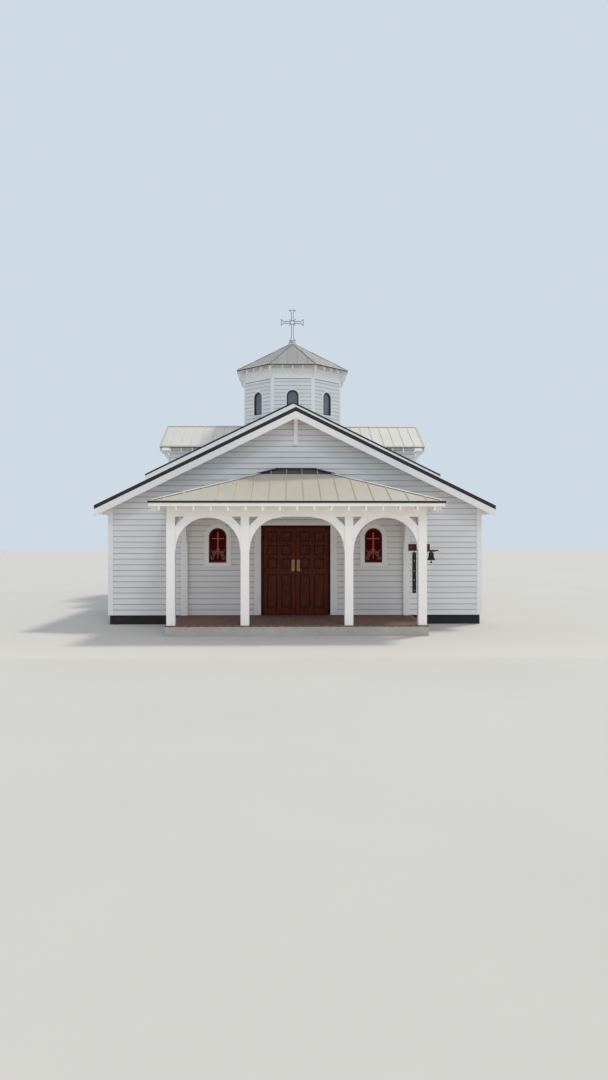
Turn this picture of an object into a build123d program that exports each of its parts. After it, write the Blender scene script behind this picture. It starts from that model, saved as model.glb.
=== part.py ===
"""A small white clapboard church with a cross gable, an octagonal lantern and an arched porch.

Millimetres, +Z up. The ground is z = 0, the entrance faces -Y, and the origin is
under the middle of the roof's rectangle. A depth is measured back from the
outer face of the entrance wall.
"""

import os
from math import atan, cos, degrees, pi, radians, sin, sqrt, tan

from build123d import *

# Levels above the ground
floor_level = 250
front_ridge = 5860
nave_ridge = 7335
transept_ridge = 7183
lantern_eave = 9385
lantern_apex = 10760

# Walls
front_half_width = 5080
nave_step_in = 110
wall_thickness = 165
front_depth = 7900
nave_depth = 9600
transept_half_width = 1950

# Main roofs: a slope is rise over run, a deck's thickness is measured plumb
roof_slope = 0.49
deck_thickness = 75
eave_overhang = 310
rake_overhang = 420
transept_eave_overhang = 300
transept_rake_overhang = 350

# Lantern
lantern_across_flats = 4000
lantern_wall_thickness = 120
lantern_overhang = 305
lantern_deck_thickness = 50
lantern_foot_depth = 120
lantern_cap_radius = 170
lantern_cap_height = 200
lantern_cap_rim = 70
lantern_cap_top_radius = 85

# Timber trim
rafter_spacing = 406
tail_width = 45
tail_depth = 175
tail_setback = 35
board_thickness = 25
bargeboard_height = 208
corner_board_width = 110
frieze_height = 415
bracket_width = 105
bracket_height = 860
bracket_end = 230
knee_drop = 80
knee_height = 700
knee_arm = 110
knee_hole_width = 100
knee_hole_height = 170
knee_toe = 60
lantern_knee_width = 45
lantern_knee_height = 430
lantern_knee_nose = 110
lantern_knee_setback = 55

# Round-headed windows
window_width = 490
window_height = 950
window_sill_level = 1680
lantern_window_sill_level = 7430
window_frame_width = 40
window_frame_depth = 60
window_reveal = 30
pane_thickness = 10
arch_chords = 10
knee_chords = 4
casing_width = 118
sill_length = 770
sill_height = 100
sill_reach = 70
front_window_offset = 2130
side_window_depths = (2700, 5900)
lantern_sill_length = 560
lantern_sill_height = 30

# Doorway and its two leaves
doorway_width = 1900
doorway_height = 2450
jamb_width = 50
jamb_depth = 150
leaf_thickness = 45
leaf_setback = 45
hinge_clearance = 6
meeting_clearance = 8
head_clearance = 6
foot_clearance = 10
door_casing_width = 180
door_casing_head = 90
stile_width = 110
lock_rail_height = 150
mid_rail_height = 90
panel_recess = 12
panel_bevel = 35
panel_field_rise = 7
handle_plate_width = 83
handle_plate_height = 307
handle_plate_thickness = 6
handle_plate_level = 1200
handle_edge_distance = 28
handle_grip_radius = 11
handle_grip_reach = 55
handle_grip_length = 190
hinge_height = 110
hinge_pin_offset = 6
hinge_running_clearance = 0.4
hinge_plate_thickness = 3
hinge_plate_reach = 45
hinge_end_distance = 250

# Porch
porch_inner_post = 1250
porch_corner_post = 3025
post_size = 205
porch_front = 2750
post_height = 2610
beam_thickness = 190
beam_height = 310
porch_eave_half_width = 3507
porch_eave_reach = 3140
porch_eave_top = 3225
porch_ridge_half_width = 556
porch_ridge_top = 4220
porch_deck_thickness = 50
porch_floor_margin = 40
porch_rafter_depth = 190
fascia_height = 80
fascia_thickness = 25
fascia_setback = 12
hip_clearance = 4
brace_thickness = 130
brace_toe = 18
brace_drop = 810
brace_corner_hole = 220
brace_chords = 12
pilaster_width = 175
pilaster_reach = 120

# Sounding irons on the right corner post
bar_length = 520
bar_height = 168
bar_thickness = 45
bar_level = 2036
bell_radius = 105
bell_height = 205
bell_shoulder_height = 25
bell_wall = 9
bell_offset = 245
arm_size = 22
semantron_length = 1010
semantron_width = 96
semantron_thickness = 14
semantron_offset = 170
hanger_radius = 7
hanger_length = 25

# Cross, whose bar and top are this far above the lantern's apex
cross_bar_rise = 880
cross_top_rise = 1416
cross_half_span = 480
cross_arm_half_width = 50
cross_flare_half_width = 150
cross_flare_length = 110
cross_bar_size = 20
cross_ring_radius = 92
cross_ray_length = 190

# Worked out from the sizes above
total_depth = front_depth + nave_depth
front_y = -(total_depth + rake_overhang - porch_eave_reach) / 2
nave_half_width = front_half_width - nave_step_in
eave_half_width = front_half_width + eave_overhang
crossing_depth = front_depth + nave_depth / 2
crossing_y = front_y + crossing_depth
nave_inner_half = nave_half_width - wall_thickness
lantern_apothem = lantern_across_flats / 2
lantern_eave_apothem = lantern_apothem + lantern_overhang
corner_per_apothem = 1 / cos(radians(22.5))
face_half_per_apothem = tan(radians(22.5))
lantern_slope = (lantern_apex - lantern_eave) / lantern_eave_apothem
valley_shift = (nave_ridge - transept_ridge) / roof_slope
transept_roof_run = transept_half_width + transept_eave_overhang
transept_roof_end = nave_half_width + transept_rake_overhang
window_spring = window_height - window_width / 2
doorway_half = doorway_width / 2
jamb_face_x = doorway_half - jamb_width
leaf_hinge_x = jamb_face_x - hinge_clearance
hinge_pin_x = jamb_face_x - hinge_pin_offset
hinge_pin_depth = leaf_setback + leaf_thickness + hinge_pin_offset
leaf_width = leaf_hinge_x - meeting_clearance / 2
leaf_foot = floor_level + foot_clearance
leaf_height = doorway_height - jamb_width - head_clearance - foot_clearance
beam_foot = floor_level + post_height
beam_top = beam_foot + beam_height
porch_front_slope = (porch_ridge_top - porch_eave_top) / porch_eave_reach
porch_side_slope = (porch_ridge_top - porch_eave_top) / (porch_eave_half_width - porch_ridge_half_width)
cross_bar_level = lantern_apex + cross_bar_rise
cross_top = lantern_apex + cross_top_rise
high_above = cross_top


def y_at(depth):
    """The y of a depth behind the entrance wall's outer face."""
    return front_y + depth


def outline(plane, points):
    """A flat face with straight sides."""
    with BuildSketch(plane) as sketch:
        with BuildLine():
            Polyline(*points, close=True)
        make_face()
    return sketch.sketch


def across(points, near, far, mode=Mode.ADD):
    """Carry an outline in x and z from one depth back to another."""
    extrude(outline(Plane.XZ.offset(-y_at(near)), points), amount=near - far, mode=mode)


def along(points, left, right, mode=Mode.ADD):
    """Carry an outline in y and z from one x to another."""
    extrude(outline(Plane.YZ.offset(left), points), amount=right - left, mode=mode)


def upright(points, low, high, mode=Mode.ADD):
    """Carry an outline in x and y from one level up to another."""
    extrude(outline(Plane.XY.offset(low), points), amount=high - low, mode=mode)


def block(x, depth, z, mode=Mode.ADD):
    """A squared piece between pairs of x, depth and z."""
    points = [(x[0], y_at(depth[0])), (x[1], y_at(depth[0])), (x[1], y_at(depth[1])), (x[0], y_at(depth[1]))]
    upright(points, z[0], z[1], mode)


def roof_top(ridge, run):
    """Level of a main roof's upper face, this far out from its ridge."""
    return ridge - roof_slope * abs(run)


def roof_under(ridge, run):
    """Level of a main roof deck's lower face, this far out from its ridge."""
    return roof_top(ridge, run) - deck_thickness


def deck_profile(ridge, start, end):
    """Section of one slope of a main roof, from its ridge side to its eave."""
    return [
        (start, roof_top(ridge, start)),
        (end, roof_top(ridge, end)),
        (end, roof_under(ridge, end)),
        (start, roof_under(ridge, start)),
    ]


def facing_plane(x, y, z, angle):
    """A plane on a wall's outer face whose normal points out, turned this far from +X."""
    out = Vector(cos(radians(angle)), sin(radians(angle)), 0)
    return Plane(origin=(x, y, z), x_dir=Vector(0, 0, 1).cross(out), z_dir=out)


def window_outline(plane, grow=0):
    """Round-headed window with its sill's middle at the plane's origin, grown all round but the foot."""
    half = window_width / 2 + grow
    foot = -min(grow, 0)
    turns = [pi * step / arch_chords for step in range(arch_chords + 1)]
    arch = [(half * cos(turn), window_spring + half * sin(turn)) for turn in turns]
    return outline(plane, [(-half, foot), (half, foot)] + arch)


def cut_windows(planes, thickness):
    """Cut window openings right through a wall."""
    for plane in planes:
        extrude(window_outline(plane), amount=-thickness, mode=Mode.SUBTRACT)


def octagon(level, apothem):
    """A level octagon over the crossing with one flat to the front."""
    with BuildSketch(Plane((0, crossing_y, level))) as sketch:
        RegularPolygon(apothem, 8, major_radius=False, rotation=22.5)
    return sketch.sketch


# Where the windows are: each plane lies on the wall's face at the middle of a sill
front_windows = [
    facing_plane(side * front_window_offset, front_y, window_sill_level, -90) for side in (-1, 1)
]
lantern_windows = []
for face_number in range(8):
    face_angle = 45 * face_number
    lantern_windows.append(
        facing_plane(
            lantern_apothem * cos(radians(face_angle)),
            crossing_y + lantern_apothem * sin(radians(face_angle)),
            lantern_window_sill_level,
            face_angle,
        )
    )


def side_windows(side, half_width, depths):
    """Window planes on the left (-1) or right (1) long wall of one section."""
    angle = 0 if side > 0 else 180
    return [facing_plane(side * half_width, y_at(depth), window_sill_level, angle) for depth in depths]


# Two windows in each side of the front section and one under each cross gable
long_wall_windows = []
for side in (-1, 1):
    long_wall_windows += side_windows(side, front_half_width, side_window_depths)
    long_wall_windows += side_windows(side, nave_half_width, [crossing_depth])

# Foundation: a low ring with a ledge that carries the floor
foundation_inset = 20
foundation_width = 250
floor_thickness = 120
floor_levels = (floor_level - floor_thickness, floor_level)


def both_sections(inset, levels, mode=Mode.ADD):
    """Plan of the front section and the nave, drawn in this far from the walls' outer faces."""
    front_half = front_half_width - inset
    nave_half = nave_half_width - inset
    block((-front_half, front_half), (inset, front_depth), levels, mode)
    block((-nave_half, nave_half), (front_depth, total_depth - inset), levels, mode)


with BuildPart() as foundation:
    both_sections(foundation_inset, (0, floor_level))
    both_sections(foundation_inset + foundation_width, (0, floor_level), Mode.SUBTRACT)
    both_sections(wall_thickness, floor_levels, Mode.SUBTRACT)

with BuildPart() as floor_slab:
    both_sections(wall_thickness, floor_levels)

# The porch's paving runs up to the foundation, and its brick edge is left square
porch_floor_half = porch_corner_post + post_size / 2 + porch_floor_margin
with BuildPart() as porch_floor:
    block(
        (-porch_floor_half, porch_floor_half),
        (-porch_front - porch_floor_margin, foundation_inset),
        (0, floor_level),
    )

# Entrance wall, in a part on each side of the doorway and a gable over it
door_head = floor_level + doorway_height


def entrance_wall_part(side):
    """Outline of the wall between the doorway and one corner."""
    return [
        (side * doorway_half, floor_level),
        (side * front_half_width, floor_level),
        (side * front_half_width, roof_under(front_ridge, front_half_width)),
        (side * doorway_half, roof_under(front_ridge, doorway_half)),
    ]


with BuildPart() as front_wall_left:
    across(entrance_wall_part(-1), 0, wall_thickness)
    cut_windows(front_windows[:1], wall_thickness)

with BuildPart() as front_wall_right:
    across(entrance_wall_part(1), 0, wall_thickness)
    cut_windows(front_windows[1:], wall_thickness)

with BuildPart() as front_gable:
    gable_outline = [
        (-doorway_half, door_head),
        (doorway_half, door_head),
        (doorway_half, roof_under(front_ridge, doorway_half)),
        (0, roof_under(front_ridge, 0)),
        (-doorway_half, roof_under(front_ridge, doorway_half)),
    ]
    across(gable_outline, 0, wall_thickness)


def long_wall_section(side, half_width, ridge):
    """Section of a long wall whose top follows the roof."""
    inner = half_width - wall_thickness
    return [
        (side * half_width, floor_level),
        (side * inner, floor_level),
        (side * inner, roof_under(ridge, inner)),
        (side * half_width, roof_under(ridge, half_width)),
    ]


with BuildPart() as side_wall_left:
    across(long_wall_section(-1, front_half_width, front_ridge), wall_thickness, front_depth)
    cut_windows(side_windows(-1, front_half_width, side_window_depths), wall_thickness)

with BuildPart() as side_wall_right:
    across(long_wall_section(1, front_half_width, front_ridge), wall_thickness, front_depth)
    cut_windows(side_windows(1, front_half_width, side_window_depths), wall_thickness)

# Nave walls, each with its cross gable
nave_rear = total_depth - wall_thickness
transept_foot = roof_under(nave_ridge, nave_half_width) - wall_thickness
transept_gable = [
    (crossing_y - transept_half_width, transept_foot),
    (crossing_y + transept_half_width, transept_foot),
    (crossing_y + transept_half_width, roof_under(transept_ridge, transept_half_width)),
    (crossing_y, roof_under(transept_ridge, 0)),
    (crossing_y - transept_half_width, roof_under(transept_ridge, transept_half_width)),
]

with BuildPart() as nave_wall_left:
    across(long_wall_section(-1, nave_half_width, nave_ridge), front_depth, nave_rear)
    along(transept_gable, -nave_half_width, -nave_inner_half)
    cut_windows(side_windows(-1, nave_half_width, [crossing_depth]), wall_thickness)

with BuildPart() as nave_wall_right:
    across(long_wall_section(1, nave_half_width, nave_ridge), front_depth, nave_rear)
    along(transept_gable, nave_inner_half, nave_half_width)
    cut_windows(side_windows(1, nave_half_width, [crossing_depth]), wall_thickness)

# The nave's front gable shows as a band above the lower roof
with BuildPart() as nave_front_gable:
    gable_band = [
        (-nave_inner_half, roof_under(front_ridge, nave_inner_half)),
        (0, roof_under(front_ridge, 0)),
        (nave_inner_half, roof_under(front_ridge, nave_inner_half)),
        (nave_inner_half, roof_under(nave_ridge, nave_inner_half)),
        (0, roof_under(nave_ridge, 0)),
        (-nave_inner_half, roof_under(nave_ridge, nave_inner_half)),
    ]
    across(gable_band, front_depth, front_depth + wall_thickness)

with BuildPart() as rear_wall:
    rear_outline = [
        (-nave_half_width, floor_level),
        (nave_half_width, floor_level),
        (nave_half_width, roof_under(nave_ridge, nave_half_width)),
        (0, roof_under(nave_ridge, 0)),
        (-nave_half_width, roof_under(nave_ridge, nave_half_width)),
    ]
    across(rear_outline, nave_rear, total_depth)

# Cheek walls stand between the nave roof and the cross gable's eaves
cheek_inner_x = valley_shift + transept_half_width
with BuildPart() as transept_cheeks:
    for side in (-1, 1):
        cheek = [
            (side * cheek_inner_x, roof_under(nave_ridge, cheek_inner_x)),
            (side * nave_inner_half, roof_under(nave_ridge, nave_inner_half)),
            (side * nave_inner_half, transept_ridge),
            (side * cheek_inner_x, transept_ridge),
        ]
        for start in (-transept_half_width, transept_half_width - wall_thickness):
            across(cheek, crossing_depth + start, crossing_depth + start + wall_thickness)
    under_transept_roof = [
        (crossing_y - transept_half_width, 0),
        (crossing_y + transept_half_width, 0),
        (crossing_y + transept_half_width, roof_under(transept_ridge, transept_half_width)),
        (crossing_y, roof_under(transept_ridge, 0)),
        (crossing_y - transept_half_width, roof_under(transept_ridge, transept_half_width)),
    ]
    along(under_transept_roof, -nave_half_width, nave_half_width, Mode.INTERSECT)

# Roof decks
with BuildPart() as front_roof_left:
    across(deck_profile(front_ridge, 0, -eave_half_width), -rake_overhang, front_depth)

with BuildPart() as front_roof_right:
    across(deck_profile(front_ridge, 0, eave_half_width), -rake_overhang, front_depth)

# Plan corners of the crossing, measured out and back from its centre
octagon_half_face = lantern_apothem * face_half_per_apothem
octagon_reach = lantern_apothem * sqrt(2)
valley_top = ((octagon_reach + valley_shift) / 2, (octagon_reach - valley_shift) / 2)
nave_roof_front_run = crossing_depth - front_depth + rake_overhang
nave_roof_rear_run = total_depth + rake_overhang - crossing_depth


def nave_roof_plan(side, way, run):
    """Plan of the nave roof on one side of the crossing: way is -1 in front and 1 behind."""
    corners = [
        (0, run),
        (eave_half_width, run),
        (eave_half_width, transept_half_width),
        (cheek_inner_x, transept_half_width),
        valley_top,
        (octagon_half_face, lantern_apothem),
        (0, lantern_apothem),
    ]
    return [(side * x, crossing_y + way * back) for x, back in corners]


def transept_roof_plan(side, way):
    """Plan of one slope of a cross gable roof."""
    corners = [
        (transept_roof_end, 0),
        (transept_roof_end, transept_roof_run),
        (valley_shift + transept_roof_run, transept_roof_run),
        valley_top,
        (lantern_apothem, octagon_half_face),
        (lantern_apothem, 0),
    ]
    return [(side * x, crossing_y + way * back) for x, back in corners]


def nave_roof_side(side):
    """Both decks of the nave roof on one side, in front of the cross gable and behind it."""
    with BuildPart() as decks:
        upright(nave_roof_plan(side, -1, nave_roof_front_run), 0, high_above)
        upright(nave_roof_plan(side, 1, nave_roof_rear_run), 0, high_above)
        across(
            deck_profile(nave_ridge, 0, side * eave_half_width),
            front_depth - rake_overhang,
            total_depth + rake_overhang,
            Mode.INTERSECT,
        )
    return decks.part


def transept_roof_slope(way):
    """Both decks of the cross gable roof that slope one way, left and right of the lantern."""
    with BuildPart() as decks:
        for side in (-1, 1):
            upright(transept_roof_plan(side, way), 0, high_above)
        slope = [
            (crossing_y + way * run, level)
            for run, level in deck_profile(transept_ridge, 0, transept_roof_run)
        ]
        along(slope, -transept_roof_end, transept_roof_end, Mode.INTERSECT)
        add([nave_roof_left.part, nave_roof_right.part], mode=Mode.SUBTRACT)
    return decks.part


with BuildPart() as nave_roof_left:
    add(nave_roof_side(-1))

with BuildPart() as nave_roof_right:
    add(nave_roof_side(1))

with BuildPart() as transept_roof_front:
    add(transept_roof_slope(-1))

with BuildPart() as transept_roof_rear:
    add(transept_roof_slope(1))

# Everything below the upper faces of the nave and cross gable roofs
with BuildPart() as roof_mass:
    nave_mass = [
        (-eave_half_width, 0),
        (eave_half_width, 0),
        (eave_half_width, roof_top(nave_ridge, eave_half_width)),
        (0, nave_ridge),
        (-eave_half_width, roof_top(nave_ridge, eave_half_width)),
    ]
    across(nave_mass, front_depth, total_depth)
    transept_mass = [
        (crossing_y - transept_roof_run, 0),
        (crossing_y + transept_roof_run, 0),
        (crossing_y + transept_roof_run, roof_top(transept_ridge, transept_roof_run)),
        (crossing_y, transept_ridge),
        (crossing_y - transept_roof_run, roof_top(transept_ridge, transept_roof_run)),
    ]
    along(transept_mass, -transept_roof_end, transept_roof_end)


def bargeboard(ridge, half_width):
    """Chevron outline of a pair of bargeboards under a rake."""
    return [
        (-half_width, roof_under(ridge, half_width)),
        (0, roof_under(ridge, 0)),
        (half_width, roof_under(ridge, half_width)),
        (half_width, roof_under(ridge, half_width) - bargeboard_height),
        (0, roof_under(ridge, 0) - bargeboard_height),
        (-half_width, roof_under(ridge, half_width) - bargeboard_height),
    ]


with BuildPart() as bargeboards:
    across(bargeboard(front_ridge, eave_half_width), -rake_overhang, board_thickness - rake_overhang)
    nave_rake = front_depth - rake_overhang
    across(bargeboard(nave_ridge, eave_half_width), nave_rake, nave_rake + board_thickness)
    rear_rake = total_depth + rake_overhang
    across(bargeboard(nave_ridge, eave_half_width), rear_rake - board_thickness, rear_rake)
    transept_board = [
        (crossing_y + run, level) for run, level in bargeboard(transept_ridge, transept_roof_run)
    ]
    along(transept_board, transept_roof_end - board_thickness, transept_roof_end)
    along(transept_board, -transept_roof_end, board_thickness - transept_roof_end)


def tail_outline(wall, eave, level):
    """Side of a plumb-cut rafter tail, from the wall out to short of the eave.

    level(run) gives the deck's lower face at a distance out."""
    end = eave - tail_setback
    points = [
        (wall, level(wall) - tail_depth),
        (wall, level(wall)),
        (end, level(end)),
        (end, level(end) - tail_depth),
    ]
    return outline(Plane.XZ, points)


def tail(wall, eave, level):
    """One rafter tail in the x-z plane, centred on y = 0."""
    with BuildPart(mode=Mode.PRIVATE) as piece:
        extrude(tail_outline(wall, eave, level), amount=tail_width / 2, both=True)
    return piece.part


def spaced(start, end):
    """Evenly spaced places at about the rafter spacing, the first and last on the ends."""
    bays = max(1, round((end - start) / rafter_spacing))
    return [start + (end - start) * number / bays for number in range(bays + 1)]


tail_end_margin = 60
front_tail = tail(front_half_width, eave_half_width, lambda run: roof_under(front_ridge, run))
nave_tail = tail(nave_half_width, eave_half_width, lambda run: roof_under(nave_ridge, run))
transept_tail = tail(
    transept_half_width, transept_roof_run, lambda run: roof_under(transept_ridge, run)
)
front_tail_depths = spaced(tail_end_margin, front_depth - rake_overhang)
nave_front_tails = spaced(
    front_depth + tail_end_margin, crossing_depth - transept_half_width - tail_end_margin
)
nave_rear_tails = spaced(
    crossing_depth + transept_half_width + tail_end_margin, total_depth - tail_end_margin
)
# A cross gable's tails start where they clear the nave roof below them
transept_tail_foot = roof_under(transept_ridge, transept_roof_run) - tail_depth
transept_tail_start = (nave_ridge - transept_tail_foot) / roof_slope + tail_end_margin
transept_tail_places = spaced(transept_tail_start, nave_half_width - tail_end_margin)

with BuildPart() as eave_rafter_tails:
    front_places = []
    nave_places = []
    transept_places = []
    for turn in (0, 180):
        front_places += [Location((0, y_at(depth), 0), (0, 0, turn)) for depth in front_tail_depths]
        nave_places += [
            Location((0, y_at(depth), 0), (0, 0, turn)) for depth in nave_front_tails + nave_rear_tails
        ]
        for x in transept_tail_places:
            transept_places.append(Location((x, crossing_y, 0), (0, 0, turn + 90)))
            transept_places.append(Location((-x, crossing_y, 0), (0, 0, turn + 90)))
    with Locations(*front_places):
        add(front_tail)
    with Locations(*nave_places):
        add(nave_tail)
    with Locations(*transept_places):
        add(transept_tail)


# Brackets: a solid king bracket at the front peak, open knees at the cross gables' corners
def curved_foot(reach, end, toe, height):
    """Hollow quarter curve from a bracket's outer end down to its toe on the wall."""
    middle = (toe + (reach - toe) * (1 - sqrt(0.5)), -end - (height - end) * (1 - sqrt(0.5)))
    ThreePointArc((reach, -end), middle, (toe, -height))


def king_outline(plane):
    """Solid bracket below a plane's origin, with the wall on its left and the roof above it."""
    reach = rake_overhang - board_thickness
    with BuildSketch(plane) as sketch:
        with BuildLine():
            Polyline(
                (knee_toe, -bracket_height),
                (0, -bracket_height),
                (0, 0),
                (reach, 0),
                (reach, -bracket_end),
            )
            curved_foot(reach, bracket_end, knee_toe, bracket_height)
        make_face()
    return sketch.sketch


def knee_outline(plane):
    """Bracket whose arm and curved foot leave a small opening beside the wall."""
    reach = transept_rake_overhang - board_thickness
    with BuildSketch(plane) as sketch:
        with BuildLine():
            Polyline(
                (knee_toe, -knee_height),
                (0, -knee_height),
                (0, -knee_arm - knee_hole_height),
                (knee_hole_width, -knee_arm),
                (0, -knee_arm),
                (0, 0),
                (reach, 0),
                (reach, -knee_arm),
            )
            curved_foot(reach, knee_arm, knee_toe, knee_height)
        make_face()
    return sketch.sketch


with BuildPart() as gable_brackets:
    king_top = roof_under(front_ridge, bracket_width / 2)
    king_plane = Plane(
        origin=(bracket_width / 2, front_y, king_top), x_dir=(0, -1, 0), z_dir=(-1, 0, 0)
    )
    extrude(king_outline(king_plane), amount=bracket_width)
    knee_top = roof_under(transept_ridge, transept_roof_run) - knee_drop
    for side in (-1, 1):
        for way in (-1, 1):
            knee_y = crossing_y + way * (transept_half_width - tail_width)
            knee_plane = Plane(
                origin=(side * nave_half_width, knee_y, knee_top),
                x_dir=(side, 0, 0),
                z_dir=(0, -side, 0),
            )
            extrude(knee_outline(knee_plane), amount=tail_width, both=True)


def below_eave(half_width, ridge):
    """Outline across the chapel of what lies under a roof's deck, and under its tails past the walls."""
    tail_foot = roof_under(ridge, half_width + board_thickness) - tail_depth
    right = [
        (half_width, roof_under(ridge, half_width)),
        (half_width, tail_foot),
        (eave_half_width, tail_foot),
        (eave_half_width, 0),
    ]
    left = [(-x, level) for x, level in reversed(right)]
    return left + [(0, roof_under(ridge, 0))] + right


def corner_pair(half_width, depths, foot, ridge):
    """Boards that lap both faces of a wall's two corners, under one roof."""
    levels = (foot, ridge)
    reach = half_width + board_thickness
    inner = half_width - corner_board_width
    with BuildPart() as boards:
        block((-reach, reach), depths, levels)
        block((-inner, inner), depths, levels, Mode.SUBTRACT)
        both_sections(0, levels, Mode.SUBTRACT)
        across(below_eave(half_width, ridge), depths[0], depths[1], Mode.INTERSECT)
    return boards.part


# Corner boards lap both walls at each corner; the nave's front ones stand on the lower roof
with BuildPart() as corner_boards:
    front_corner = (-board_thickness, corner_board_width)
    add(corner_pair(front_half_width, front_corner, floor_level, front_ridge))
    rear_corner = (total_depth - corner_board_width, total_depth + board_thickness)
    add(corner_pair(nave_half_width, rear_corner, floor_level, nave_ridge))
    step_corner = (front_depth - board_thickness, front_depth + corner_board_width)
    step_foot = roof_top(front_ridge, nave_half_width - corner_board_width)
    add(corner_pair(nave_half_width, step_corner, step_foot, nave_ridge))

# Lantern
lantern_foot = roof_under(nave_ridge, valley_top[0]) - lantern_foot_depth


def lantern_pyramid(drop):
    """The lantern roof's slopes as a solid on the eave, lowered by drop and cut off under the cap."""
    run = lantern_eave_apothem - lantern_cap_radius / 2
    lean = degrees(atan(1 / lantern_slope))
    extrude(octagon(lantern_eave - drop, lantern_eave_apothem), amount=run * lantern_slope, taper=lean)


# Everything that lies below the lantern deck's lower face
with BuildPart() as under_lantern_roof:
    lantern_pyramid(lantern_deck_thickness)
    extrude(octagon(lantern_eave - lantern_deck_thickness, lantern_eave_apothem), amount=-lantern_eave)

with BuildPart() as lantern_roof:
    lantern_pyramid(0)
    extrude(octagon(lantern_eave, lantern_eave_apothem), amount=-lantern_deck_thickness)
    add(under_lantern_roof.part, mode=Mode.SUBTRACT)


def lantern_wall_faces(first_angle):
    """Four separate walls of the lantern, a quarter turn apart."""
    half_face = lantern_apothem * face_half_per_apothem
    inner = lantern_apothem - lantern_wall_thickness
    inner_half = inner * face_half_per_apothem
    with BuildPart() as walls:
        for turn in range(4):
            base = Plane((0, crossing_y, lantern_foot)).rotated((0, 0, first_angle + 90 * turn))
            plan = [
                (lantern_apothem, -half_face),
                (lantern_apothem, half_face),
                (inner, inner_half),
                (inner, -inner_half),
            ]
            extrude(outline(base, plan), amount=high_above - lantern_foot)
        add(under_lantern_roof.part, mode=Mode.INTERSECT)
        cut_windows(lantern_windows, lantern_wall_thickness)
    return walls.part


with BuildPart() as lantern_walls_square:
    add(lantern_wall_faces(0))

with BuildPart() as lantern_walls_diagonal:
    add(lantern_wall_faces(45))

# Frieze and corner boards, one ring of white trim that stops on the roofs
frieze_top = lantern_eave - 130
frieze_foot = frieze_top - frieze_height
lantern_board_half = 75
with BuildPart() as lantern_trim:
    extrude(octagon(lantern_foot, lantern_apothem + board_thickness), amount=frieze_top - lantern_foot)
    extrude(octagon(lantern_foot, lantern_apothem), amount=frieze_top - lantern_foot, mode=Mode.SUBTRACT)
    gap_half = lantern_apothem * face_half_per_apothem - lantern_board_half
    for turn in range(8):
        base = Plane((0, crossing_y, lantern_foot)).rotated((0, 0, 45 * turn))
        between_boards = [
            (lantern_apothem - board_thickness, -gap_half),
            (lantern_apothem + 2 * board_thickness, -gap_half),
            (lantern_apothem + 2 * board_thickness, gap_half),
            (lantern_apothem - board_thickness, gap_half),
        ]
        extrude(outline(base, between_boards), amount=frieze_foot - lantern_foot, mode=Mode.SUBTRACT)
    add(roof_mass.part, mode=Mode.SUBTRACT)

# Under the lantern's eave: three tails on each side and a rounded knee at each corner
lantern_tail_spread = rafter_spacing


def lantern_under(run):
    """Level of the lantern deck's lower face above a point this far out along a flat."""
    return lantern_eave - lantern_deck_thickness + lantern_slope * (lantern_eave_apothem - run)


def hip_under(run):
    """Level of the lantern deck's lower face above a point this far out along a hip."""
    return lantern_under(run / corner_per_apothem)


def hip_knee():
    """Bracket under one hip: square at the eave, rounded in to the corner board below."""
    wall = lantern_apothem * corner_per_apothem
    end = lantern_eave_apothem * corner_per_apothem - lantern_knee_setback
    nose = hip_under(end) - lantern_knee_nose
    drop = lantern_knee_height - lantern_knee_nose
    turns = [pi / 2 * step / knee_chords for step in range(knee_chords + 1)]
    curve = [(wall + (end - wall) * cos(turn), nose - drop * sin(turn)) for turn in turns]
    back = lantern_apothem
    top = [(back, nose - drop), (back, hip_under(back)), (end, hip_under(end))]
    with BuildPart(mode=Mode.PRIVATE) as piece:
        extrude(outline(Plane.XZ, top + curve), amount=lantern_knee_width / 2, both=True)
    return piece.part


flat_tail = tail(lantern_apothem, lantern_eave_apothem, lantern_under)
with BuildPart() as lantern_rafter_tails:
    with Locations((0, crossing_y)):
        with PolarLocations(0, 8):
            with Locations((0, -lantern_tail_spread), (0, 0), (0, lantern_tail_spread)):
                add(flat_tail)
        with PolarLocations(0, 8, start_angle=22.5):
            add(hip_knee())
    add(under_lantern_roof.part, mode=Mode.INTERSECT)
    extrude(octagon(lantern_foot, lantern_apothem), amount=high_above, mode=Mode.SUBTRACT)
    add(lantern_trim.part, mode=Mode.SUBTRACT)

# Windows
with BuildPart() as window_frames:
    for plane in front_windows + long_wall_windows + lantern_windows:
        extrude(
            window_outline(plane.offset(-window_reveal)),
            amount=-window_frame_depth,
        )
        extrude(
            window_outline(plane.offset(-window_reveal), -window_frame_width),
            amount=-window_frame_depth,
            mode=Mode.SUBTRACT,
        )


def panes(planes):
    """A pane inside each window's frame."""
    with BuildPart() as sheets:
        for plane in planes:
            middle = plane.offset(-window_reveal - window_frame_depth / 2)
            extrude(window_outline(middle, -window_frame_width), amount=pane_thickness / 2, both=True)
    return sheets.part


with BuildPart() as window_glass:
    add(panes(long_wall_windows + lantern_windows))

with BuildPart() as front_window_panes:
    add(panes(front_windows))

with BuildPart() as window_casings:
    for plane in front_windows + long_wall_windows:
        extrude(window_outline(plane, casing_width), amount=board_thickness)
        extrude(window_outline(plane), amount=board_thickness, mode=Mode.SUBTRACT)
        sill = [
            (-sill_length / 2, -sill_height),
            (sill_length / 2, -sill_height),
            (sill_length / 2, 0),
            (-sill_length / 2, 0),
        ]
        extrude(outline(plane, sill), amount=sill_reach)
    for plane in lantern_windows:
        small_sill = [
            (-lantern_sill_length / 2, -lantern_sill_height),
            (lantern_sill_length / 2, -lantern_sill_height),
            (lantern_sill_length / 2, 0),
            (-lantern_sill_length / 2, 0),
        ]
        extrude(outline(plane, small_sill), amount=2 * board_thickness)

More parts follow.
